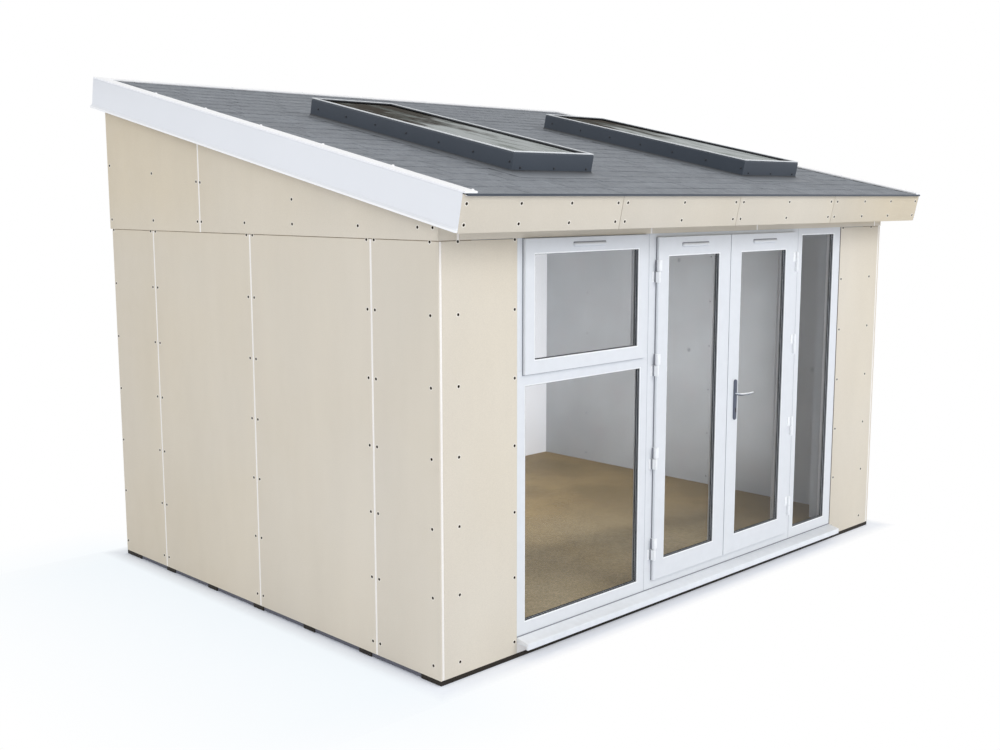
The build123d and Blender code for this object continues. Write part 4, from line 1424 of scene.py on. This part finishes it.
class POD_OT_window(PodOperator, bpy.types.Operator):
    """Window with its top sash, and the sidelight"""

    bl_idname = "pod.window"
    bl_label = "Window and sidelight"

    def make(self, context):
        glazing = context.scene.pod_glazing
        low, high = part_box("window_frame")
        lower, upper = sorted(solid_boxes("window_glass"), key=lambda b: b[0].z)
        sash_low, sash_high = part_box("window_sash")
        lap, play = 0.022, 0.005
        transom = sash_low.z + lap
        x0, x1, z0, z1 = rect_of(low, high)
        fixed = {"out": (x0, x1, z0, transom), "in": rect_of(*lower)}
        opening = (lower[0].x, lower[1].x, transom + 0.004, sash_high.z - lap)
        rings = [
            (fixed, fixed_section(fixed, low.y, high.y, glazing)),
            ({"out": (x0, x1, transom, z1), "in": opening}, flat_section(low.y, high.y)),
        ]
        edge = glazing.edge_round
        ring_piece("window_outer_frame", rings, edge, "plastic", "pod", "frame_white", "window_frame")

        body = (lower[0].x + play, lower[1].x - play, transom + play, sash_high.z - lap - play)
        sash = {"out": rect_of(sash_low, sash_high), "in": rect_of(*upper), "body": body}
        rings = [(sash, opening_section(sash, sash_low.y, FRONT - 0.0008, sash_high.y, glazing))]
        ring_piece("window_top_sash", rings, edge * 1.4, "plastic", "pod", "frame_white", "window_sash")

        low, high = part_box("sidelight_frame")
        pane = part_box("sidelight_glass")
        side = {"out": rect_of(low, high), "in": rect_of(*pane)}
        rings = [(side, fixed_section(side, low.y, high.y, glazing))]
        ring_piece("sidelight_outer_frame", rings, edge, "plastic", "pod", "frame_white", "sidelight_frame")

        parts = GlazingParts()
        for unit, front in ((lower, FRONT), (upper, sash_low.y), (pane, FRONT)):
            parts.add_unit(unit[0], unit[1], front, glazing)
        parts.finish("window", "pod", "window_glass", "sidelight_glass")
        canopy("window_vent_hood", "window_vent", "pod")
        seal = gap_line(rect_of(sash_low, sash_high), FRONT - 0.0012, FRONT + 0.0002, 0.004)
        ring_piece("sash_seal", [seal], 0.0, "joint_line", "pod", "dark_metal")
        self.frame_joints()

    def frame_joints(self):
        """Fine lines where the frames meet, and the seal at the right-hand pier."""
        low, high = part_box("door_frame")
        half, end = 0.0009, 0.001
        bm = bmesh.new()
        for x in (low.x, high.x):
            add_block(bm, (x - half, FRONT - 0.0003, low.z + end), (x + half, FRONT + 0.0006, high.z - end))
        dress(object_from("frame_joint_lines", bm), "frame_joint", "pod", "frame_white")
        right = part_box("sidelight_frame")[1].x
        seal_low = (right - 0.0004, FRONT - 0.0025, low.z)
        seal_high = (right + 0.0038, FRONT + 0.001, high.z)
        block_piece("pier_seal", seal_low, seal_high, "brown_seal", "pod", "white_trim")


class POD_OT_doors(PodOperator, bpy.types.Operator):
    """Door frame, both leaves, their panes and vent hoods"""

    bl_idname = "pod.doors"
    bl_label = "Double doors"

    def make(self, context):
        glazing = context.scene.pod_glazing
        stop_lap, clear, free, face_depth = 0.014, 0.006, 0.009, 0.015
        low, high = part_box("door_frame")
        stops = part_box("door_stops")
        opening = (stops[0].x + stop_lap, stops[1].x - stop_lap, stops[0].z, stops[1].z - stop_lap)
        rings = [({"out": rect_of(low, high), "in": opening}, flat_section(low.y, high.y))]
        edge = glazing.edge_round
        ring_piece("door_outer_frame", rings, edge, "plastic", "pod", "frame_white", "door_frame")
        softened_copy("door_stops", "door_stop_beads", "plastic", "pod", "frame_white", 0.001)

        for side in ("left", "right"):
            body = f"{side}_door"
            leaf_low, leaf_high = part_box(f"{side}_door_leaf")
            pane_low, pane_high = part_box(f"{side}_door_glass")
            left = side == "left"
            x0 = opening[0] + clear if left else leaf_low.x + free
            x1 = leaf_high.x - free if left else opening[1] - clear
            rects = {
                "out": rect_of(leaf_low, leaf_high),
                "in": rect_of(pane_low, pane_high),
                "body": (x0, x1, opening[2] + clear, opening[3] - clear),
            }
            step = leaf_low.y + face_depth
            rings = [(rects, opening_section(rects, leaf_low.y, step, leaf_high.y, glazing))]
            name = f"{side}_leaf_frame"
            ring_piece(name, rings, edge * 1.4, "plastic", body, "frame_white", f"{side}_door_leaf")
            parts = GlazingParts()
            parts.add_unit(pane_low, pane_high, leaf_low.y, glazing)
            parts.finish(f"{side}_leaf", body, f"{side}_door_glass")
            canopy(f"{side}_leaf_vent_hood", f"{side}_door_vent", body)
            seal = gap_line(rects["out"], step + 0.0002, FRONT - 0.0006, -0.006)
            ring_piece(f"{side}_leaf_seal", [seal], 0.0, "joint_line", body, "dark_metal")

        low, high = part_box("left_door_leaf")
        seal_low = (high.x - 0.0002, low.y + 0.004, low.z + 0.002)
        seal_high = (high.x + 0.0048, low.y + 0.0145, high.z - 0.002)
        block_piece("meeting_seal", seal_low, seal_high, "frame_joint", "left_door", "dark_metal")


class POD_OT_hinges(PodOperator, bpy.types.Operator):
    """Flag hinges with capped knuckles"""

    bl_idname = "pod.hinges"
    bl_label = "Hinges"

    edge_round, edge_angle = 0.0008, 40.0
    knuckle = 0.008
    flag = 0.003
    # seal: thickness of the dark strips of painted shadow beside the knuckles
    seal = 0.0004
    shade_strip_depth = 0.013

    def make(self, context):
        for side in ("left", "right"):
            self.leaf_halves(side, sorted(solid_boxes(f"{side}_door_hinges"), key=lambda b: b[0].z))
        bm, shade_strips = bmesh.new(), bmesh.new()
        for low, high in solid_boxes("frame_hinges"):
            self.frame_half(bm, shade_strips, "left" if low.x + high.x < 0 else "right", low.z)
        piece = soften(object_from("frame_hinge_halves", bm), self.edge_round, self.edge_angle)
        # painted light: the hinges are whiter than the frames, offsetting their shade
        dress(piece, "highlight_white", "pod", "frame_white", "frame_hinges")
        # dark strips of painted shadow beside the lower halves
        dress(object_from("frame_hinge_gaskets", shade_strips), "joint_line", "pod", "dark_metal")

    def pin(self, side):
        joint = next(j for j in frame["joints"] if j["name"] == f"{side}_door_hinge")
        return joint["pos_m"][0], joint["pos_m"][1]

    def leaf_halves(self, side, boxes):
        """Upper half of each hinge: a packer on the leaf's edge, a capped knuckle and a flag on its face, with a dark
        strip of painted shadow beside the packer.
        """
        x, y = self.pin(side)
        inward = 1 if side == "left" else -1
        packer, lap, flag_reach = 0.0068, 0.0004, 0.0335
        bm, shade_strips = bmesh.new(), bmesh.new()
        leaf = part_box(f"{side}_door_leaf")
        edge = leaf[0].x if side == "left" else leaf[1].x
        for low, high in boxes:
            tall = high.z - low.z
            ends = (low.z + 0.001, high.z - 0.001)
            packer_xs = (edge - inward * packer, edge + inward * lap)
            add_span(bm, packer_xs, (leaf[0].y + 0.0004, FRONT - 0.0003), ends)
            shade_strip_xs = (edge - inward * (packer + self.seal), edge - inward * packer)
            add_span(shade_strips, shade_strip_xs, (FRONT - self.shade_strip_depth, FRONT - 0.0004), ends)
            foot = [(0, 0.0074), (0.001, self.knuckle)]
            cap = [(tall - 0.005, self.knuckle), (tall - 0.0015, 0.0066), (tall, 0.0035), (tall, 0.0)]
            add_lathe(bm, foot + cap, (x, y, low.z), (0, 0, 1))
            flag_ys = (high.y - self.flag, high.y - 0.0001)
            add_span(bm, (x, x + inward * flag_reach), flag_ys, (low.z + 0.001, high.z - 0.002))
        piece = soften(object_from(f"{side}_leaf_hinge_halves", bm), self.edge_round, self.edge_angle)
        # painted light: the hinges are whiter than the frames, offsetting their shade
        dress(piece, "highlight_white", f"{side}_door", "frame_white", f"{side}_door_hinges")
        # dark strips of painted shadow beside the packers
        dress(object_from(f"{side}_leaf_hinge_gaskets", shade_strips), "joint_line", f"{side}_door", "dark_metal")

    def frame_half(self, bm, shade_strips, side, foot):
        """Lower half of a hinge: a capped knuckle, an arm into the frame and a wing on its face, with a dark strip of
        painted shadow beside the arm.
        """
        x, y = self.pin(side)
        out = -1 if side == "left" else 1
        tall, wing = 0.0607, 0.026
        ends = (foot + 0.002, foot + tall - 0.001)
        cap = [(0.0, 0.0), (0.0, 0.0035), (0.0015, 0.0066), (0.005, self.knuckle)]
        add_lathe(bm, cap + [(tall - 0.001, self.knuckle), (tall, 0.0074)], (x, y, foot), (0, 0, 1))
        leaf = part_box(f"{side}_door_leaf")
        edge = leaf[0].x if side == "left" else leaf[1].x
        add_span(bm, (x + out * self.knuckle, edge + out * 0.0006), (y, FRONT - 0.0001), ends)
        shade_strip_xs = (x + out * (self.knuckle + self.seal), x + out * self.knuckle)
        add_span(shade_strips, shade_strip_xs, (FRONT - self.shade_strip_depth, FRONT - 0.0031), ends)
        add_span(bm, (x, x + out * wing), (FRONT - self.flag, FRONT - 0.0001), ends)


class POD_OT_handle(PodOperator, bpy.types.Operator):
    """Lever handle, its plates and the key cylinder"""

    bl_idname = "pod.handle"
    bl_label = "Lever handle"

    def make(self, context):
        plates = sorted(solid_boxes("handle_plates"), key=lambda b: b[0].y)
        lever_low, lever_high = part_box("lever_handle")
        joint = next(j for j in frame["joints"] if j["name"] == "handle_turn")
        x, z = joint["pos_m"][0], joint["pos_m"][2]
        key_drop, spindle, spindle_end = 0.092, 0.0045, 0.012
        bm, keys = bmesh.new(), bmesh.new()
        for (low, high), out in zip(plates, (-1, 1)):
            self.plate(bm, low, high, out, x)
            self.cylinder(keys, (low, high), out, x, z - key_drop)
        piece = soften(object_from("handle_back_plates", bm), 0.0012, 50.0)
        dress(piece, "satin", "right_door", "chrome", "handle_plates")
        dress(object_from("key_cylinders", keys), "shadow_gap", "right_door", "chrome")

        bm = bmesh.new()
        front, back = plates[0][1].y, plates[1][0].y
        profile = [(0.0, spindle), (back - front + 2 * spindle_end, spindle)]
        add_lathe(bm, profile, (x, front - spindle_end, z), (0, 1, 0), 16)
        for out, face, tip in ((-1, front, lever_low.y), (1, back, lever_high.y)):
            self.lever(bm, out, x, z, face, tip)
        dress(smooth(object_from("lever_pair", bm)), "chrome", "handle", "chrome", "lever_handle")

    def plate(self, bm, low, high, out, x):
        """Long plate with half-round ends and a domed face."""
        half, arc_steps = (high.x - low.x) / 2, 12
        back = high.y if out < 0 else low.y
        depth = high.y - low.y
        outline = []
        for centre, start in ((high.z - half, 0.0), (low.z + half, pi)):
            for k in range(arc_steps + 1):
                turn = start + pi * k / arc_steps
                outline.append((x + half * cos(turn), centre + half * sin(turn)))
        rings = []
        for inset, rise in ((0.0, 0.0), (0.0, depth * 0.62), (0.0022, depth * 0.9), (0.006, depth)):
            shrink = 1 - inset / half
            ring = []
            for px, pz in outline:
                cz = min(max(pz, low.z + half), high.z - half)
                ring.append(bm.verts.new((x + (px - x) * shrink, back + out * rise, cz + (pz - cz) * shrink)))
            rings.append(ring)
        join_rings(bm, rings)

    def cylinder(self, bm, plate, out, x, z):
        """Key cylinder seen in the plate, as a dark round with a slot below it."""
        low, high = plate
        lift, rise, radius, half_slot = 0.0004, 0.0008, 0.0065, 0.0035
        face = low.y - lift if out < 0 else high.y + lift
        add_lathe(bm, [(0.0, 0.0), (0.0, radius), (rise, 0.006), (rise, 0.0)], (x, face, z), (0, out, 0), 16)
        near, far = sorted((face, face + out * rise))
        add_block(bm, (x - half_slot, near, z - 0.019), (x + half_slot, far, z - 0.004))

    def lever(self, bm, out, x, z, face, tip):
        """Neck and curved grip on one side of the door."""
        neck_steps, turn_steps, grip_steps = 4, 6, 9
        reach, bend, radius, flat, sag, end_taper = 0.123, 0.016, 0.0085, 0.006, 0.0018, 0.55
        base = face + out * 0.0003
        end = tip - out * 0.0068
        path, wide, tall = [], [], []
        for k in range(neck_steps):
            path.append(Vector((x, base + (end - out * bend - base) * k / (neck_steps - 1), z)))
            wide.append(radius)
            tall.append(radius)
        for k in range(1, turn_steps + 1):
            turn = pi / 2 * k / turn_steps
            path.append(Vector((x + bend * (1 - cos(turn)), end - out * bend * (1 - sin(turn)), z)))
            wide.append(radius - (radius - flat) * k / turn_steps)
            tall.append(radius)
        for k in range(1, grip_steps + 1):
            share = k / grip_steps
            path.append(Vector((x + bend + (reach - bend) * share, end, z - sag * sin(pi * share))))
            shrink = 1.0 if k < grip_steps else end_taper
            wide.append((flat - 0.0008 * share) * shrink)
            tall.append((radius - 0.0015 * share) * shrink)
        add_sweep(bm, path, wide, tall)


class POD_OT_base(PodOperator, bpy.types.Operator):
    """Sill, bearers and threshold"""

    bl_idname = "pod.base"
    bl_label = "Sill and base"

    def make(self, context):
        edge = context.scene.pod_glazing.edge_round
        softened_copy("sill", "window_sill", "sill", "pod", "frame_white", edge * 1.5)
        softened_copy("ground_bearers", "bearer_planks", "bearer", "pod", "bearer_timber", 0.003)
        softened_copy("threshold_beam", "threshold_face", "strips", "pod", "threshold_beam", 0.0015)
        low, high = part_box("sill")
        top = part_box("window_frame")[0].z
        seal_low = (low.x + 0.001, FRONT - 0.0022, top - 0.0006)
        seal_high = (high.x - 0.001, FRONT + 0.001, top + 0.0046)
        block_piece("sill_seal", seal_low, seal_high, "joint_line", "pod", "dark_metal")
        self.channels()
        for finish_name, names in (
            ("panel", ("inner_threshold", "floor_panel", "left_wall", "right_wall", "back_wall")),
            ("lining", ("front_posts", "front_lintel")),
            ("panel", ("roof_panels_long", "roof_panels_short")),
        ):
            for name in names:
                paint_node(name, finish_name)

    def channels(self):
        """Dark strips of painted shade under the side walls, set back between the bearers."""
        inset, thick, foot, over, fit = 0.006, 0.004, 0.003, 0.004, 0.0005
        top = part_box("left_cladding")[0].z + over
        bm = bmesh.new()
        ends = sorted({round(v, 4) for low, high in solid_boxes("ground_bearers") for v in (low.y, high.y)})
        inner = LEFT_FACE + inset
        for start, stop in zip(ends[1::2], ends[2::2]):
            for x0, x1 in ((inner, inner + thick), (-inner - thick, -inner)):
                add_block(bm, (x0, start + fit, foot), (x1, stop - fit, top))
        dress(object_from("base_channels", bm), "base_shade", "pod", "dark_metal")


class POD_OT_interior(PodOperator, bpy.types.Operator):
    """Linings, floor, ceiling and their fixings"""

    bl_idname = "pod.interior"
    bl_label = "Interior"

    def make(self, context):
        fixings = context.scene.pod_fixings
        paint_node("wall_linings", "lining")
        paint_node("ceiling_lining", "ceiling")
        paint_node("floor_board", "floor")
        low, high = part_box("ceiling_lining")
        first_row, row_pitch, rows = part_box("floor_board")[1].z + 0.06, 0.33, 7
        places = []
        for x, turn in ((low.x, TO_RIGHT), (high.x, TO_LEFT)):
            for y in (-0.9, -0.3, 0.3, 0.9):
                for k in range(rows):
                    places.append(((x, y, first_row + k * row_pitch), turn, ONE))
        head = screw_head(0.0044, 0.0, 0.0006)
        set_copies("lining_screws", places, head, "screw", "pod", 2 * pi, 0.0, fixings.seed)
        self.reveals()

    def reveals(self):
        """White boards that line the rooflight wells."""
        board, bottom, top = 0.006, -0.164, 0.084
        rings = []
        for name in ("skylight_left_frame", "skylight_right_frame"):
            outer = shrunk(kerb_rect(name), KERB_WALL)
            rings.append(({"out": outer, "in": shrunk(outer, board)}, flat_section(bottom, top)))
        ring_piece("rooflight_reveals", rings, 0.0, "ceiling", "pod", "ceiling", place=on_roof)


class POD_OT_stage(PodOperator, bpy.types.Operator):
    """Floor, lamps, world and camera"""

    bl_idname = "pod.stage"
    bl_label = "Studio stage"

    def make(self, context):
        settings = context.scene.pod_stage
        self.floor()
        self.world(settings)
        self.lamp("key_lamp", (1.0, -12.0, 8.0), (0.0, -0.8, 1.0), (7.0, 7.0), settings.key)
        self.lamp("left_fill_lamp", (-8.0, -2.0, 4.0), (-1.0, 0.3, 1.2), (5.0, 5.0), settings.key * 0.15)
        self.lamp("room_lamp", (0.4, -0.95, 1.15), (0.85, 1.36, 1.1), (2.2, 1.5), settings.room, 116.0)
        camera = bpy.data.objects.new("camera", bpy.data.cameras.new("camera"))
        context.scene.collection.objects.link(camera)
        camera.data.lens = settings.lens
        camera.data.sensor_width = 36.0
        camera.location = (-5.56972, -5.50149, 2.26577)
        camera.rotation_euler = (radians(81.59556), radians(0.04254), radians(-44.75613))
        camera.data.clip_end = 200.0
        context.scene.camera = camera
        context.scene.view_settings.view_transform = "Standard"

    def floor(self):
        size = 40.0
        bm = bmesh.new()
        bm.faces.new(
            [bm.verts.new((x * size, y * size, -0.0005)) for x, y in ((-1, -1), (1, -1), (1, 1), (-1, 1))]
        )
        piece = object_from("studio_floor", bm)
        material, tree, coords = bare_material("studio_floor")
        paper = blend(tree, mottle(tree, coords, 0.4), (0.84, 0.88, 0.97), (0.86, 0.90, 0.98))
        matt = node(tree, "ShaderNodeBsdfDiffuse", {"Color": paper})
        place = axes(tree, coords)
        leftwards = sums(tree, "SUBTRACT", LEFT_FACE, place["X"])
        beside = times(
            tree,
            band(tree, leftwards, 1.6, 0.1),
            band(tree, leftwards, -0.5, 0.1),
            band(tree, absolute(tree, place["Y"]), 2.2, 1.4),
        )
        # painted shadow: the white glow is tinted bluish beside the pod's left wall
        painted_shadow_tint = blend(tree, beside, (1.0, 1.0, 1.0), (0.915, 0.965, 1.0))
        glow = node(tree, "ShaderNodeEmission", {"Color": painted_shadow_tint, "Strength": 1.0})
        share = times(tree, seen_rays(tree), self.paper_white(tree, coords))
        mixed = node(tree, "ShaderNodeMixShader", {0: share, 1: matt.outputs[0], 2: glow.outputs[0]})
        node(tree, "ShaderNodeOutputMaterial", {"Surface": mixed.outputs[0]})
        piece.data.materials.append(material)

    def paper_white(self, tree, coords):
        """How far the paper glows white: not at all under the pod, then crisply in front of it, behind it and to
        its right, and slowly to its left, where the shadow is soft and wide."""
        place = axes(tree, coords)
        leftwards = sums(tree, "SUBTRACT", LEFT_FACE, place["X"])
        rightwards = sums(tree, "SUBTRACT", place["X"], RIGHT_FACE)
        along = sums(tree, "SUBTRACT", absolute(tree, place["Y"]), BACK_FACE)
        wide = sums(tree, "ADD", band(tree, leftwards, 0.0, 0.12, 0.0, 0.9), band(tree, leftwards, 0.12, 1.2, 0.0, 0.1))
        beyond = sums(tree, "MAXIMUM", rightwards, along)
        crisp = sums(tree, "ADD", band(tree, beyond, -0.01, 0.01, 0.0, 0.34), band(tree, beyond, 0.06, 0.15, 0.0, 0.66))
        return sums(tree, "MAXIMUM", wide, crisp)

    def world(self, settings):
        world = bpy.data.worlds.new("studio")
        bpy.context.scene.world = world
        world.use_nodes = True
        tree = world.node_tree
        tree.nodes.clear()
        strength = band(tree, seen_rays(tree), 0.0, 1.0, settings.sky, 1.0)
        light = node(tree, "ShaderNodeBackground", {"Color": (1.0, 1.0, 1.0, 1.0), "Strength": strength})
        node(tree, "ShaderNodeOutputWorld", {"Surface": light.outputs[0]})

    def lamp(self, name, place, target, size, power, spread=180.0):
        lamp = bpy.data.lights.new(name, "AREA")
        lamp.spread = radians(spread)
        lamp.energy = power
        lamp.shape = "RECTANGLE"
        lamp.size, lamp.size_y = size
        made = bpy.data.objects.new(name, lamp)
        bpy.context.scene.collection.objects.link(made)
        made.location = place
        made.rotation_euler = (Vector(target) - Vector(place)).to_track_quat("-Z", "Y").to_euler()
        made.visible_camera = False
        made.visible_glossy = False


OPERATORS = (
    POD_OT_stage,
    POD_OT_boards,
    POD_OT_screws,
    POD_OT_roof,
    POD_OT_verges,
    POD_OT_rooflights,
    POD_OT_window,
    POD_OT_doors,
    POD_OT_hinges,
    POD_OT_handle,
    POD_OT_base,
    POD_OT_interior,
)


class VIEW3D_PT_pod(bpy.types.Panel):
    """The pieces of the pod, in the order in which they are made"""

    bl_label = "Garden Office Pod"
    bl_space_type = "VIEW_3D"
    bl_region_type = "UI"
    bl_category = "Pod"

    def draw(self, context):
        for settings_name, group in SETTINGS.items():
            box = self.layout.box()
            for key in group.__annotations__:
                box.prop(getattr(context.scene, settings_name), key)
        for operator in OPERATORS:
            self.layout.operator(operator.bl_idname)


def register():
    for settings_name, group in SETTINGS.items():
        bpy.utils.register_class(group)
        setattr(bpy.types.Scene, settings_name, PointerProperty(type=group))
    for kind in (*OPERATORS, VIEW3D_PT_pod):
        bpy.utils.register_class(kind)


def unregister():
    for kind in (VIEW3D_PT_pod, *reversed(OPERATORS)):
        bpy.utils.unregister_class(kind)
    for settings_name, group in reversed(SETTINGS.items()):
        delattr(bpy.types.Scene, settings_name)
        bpy.utils.unregister_class(group)


def main():
    register()
    for operator in OPERATORS:
        group, name = operator.bl_idname.split(".")
        getattr(getattr(bpy.ops, group), name)()


if __name__ == "__main__":
    main()
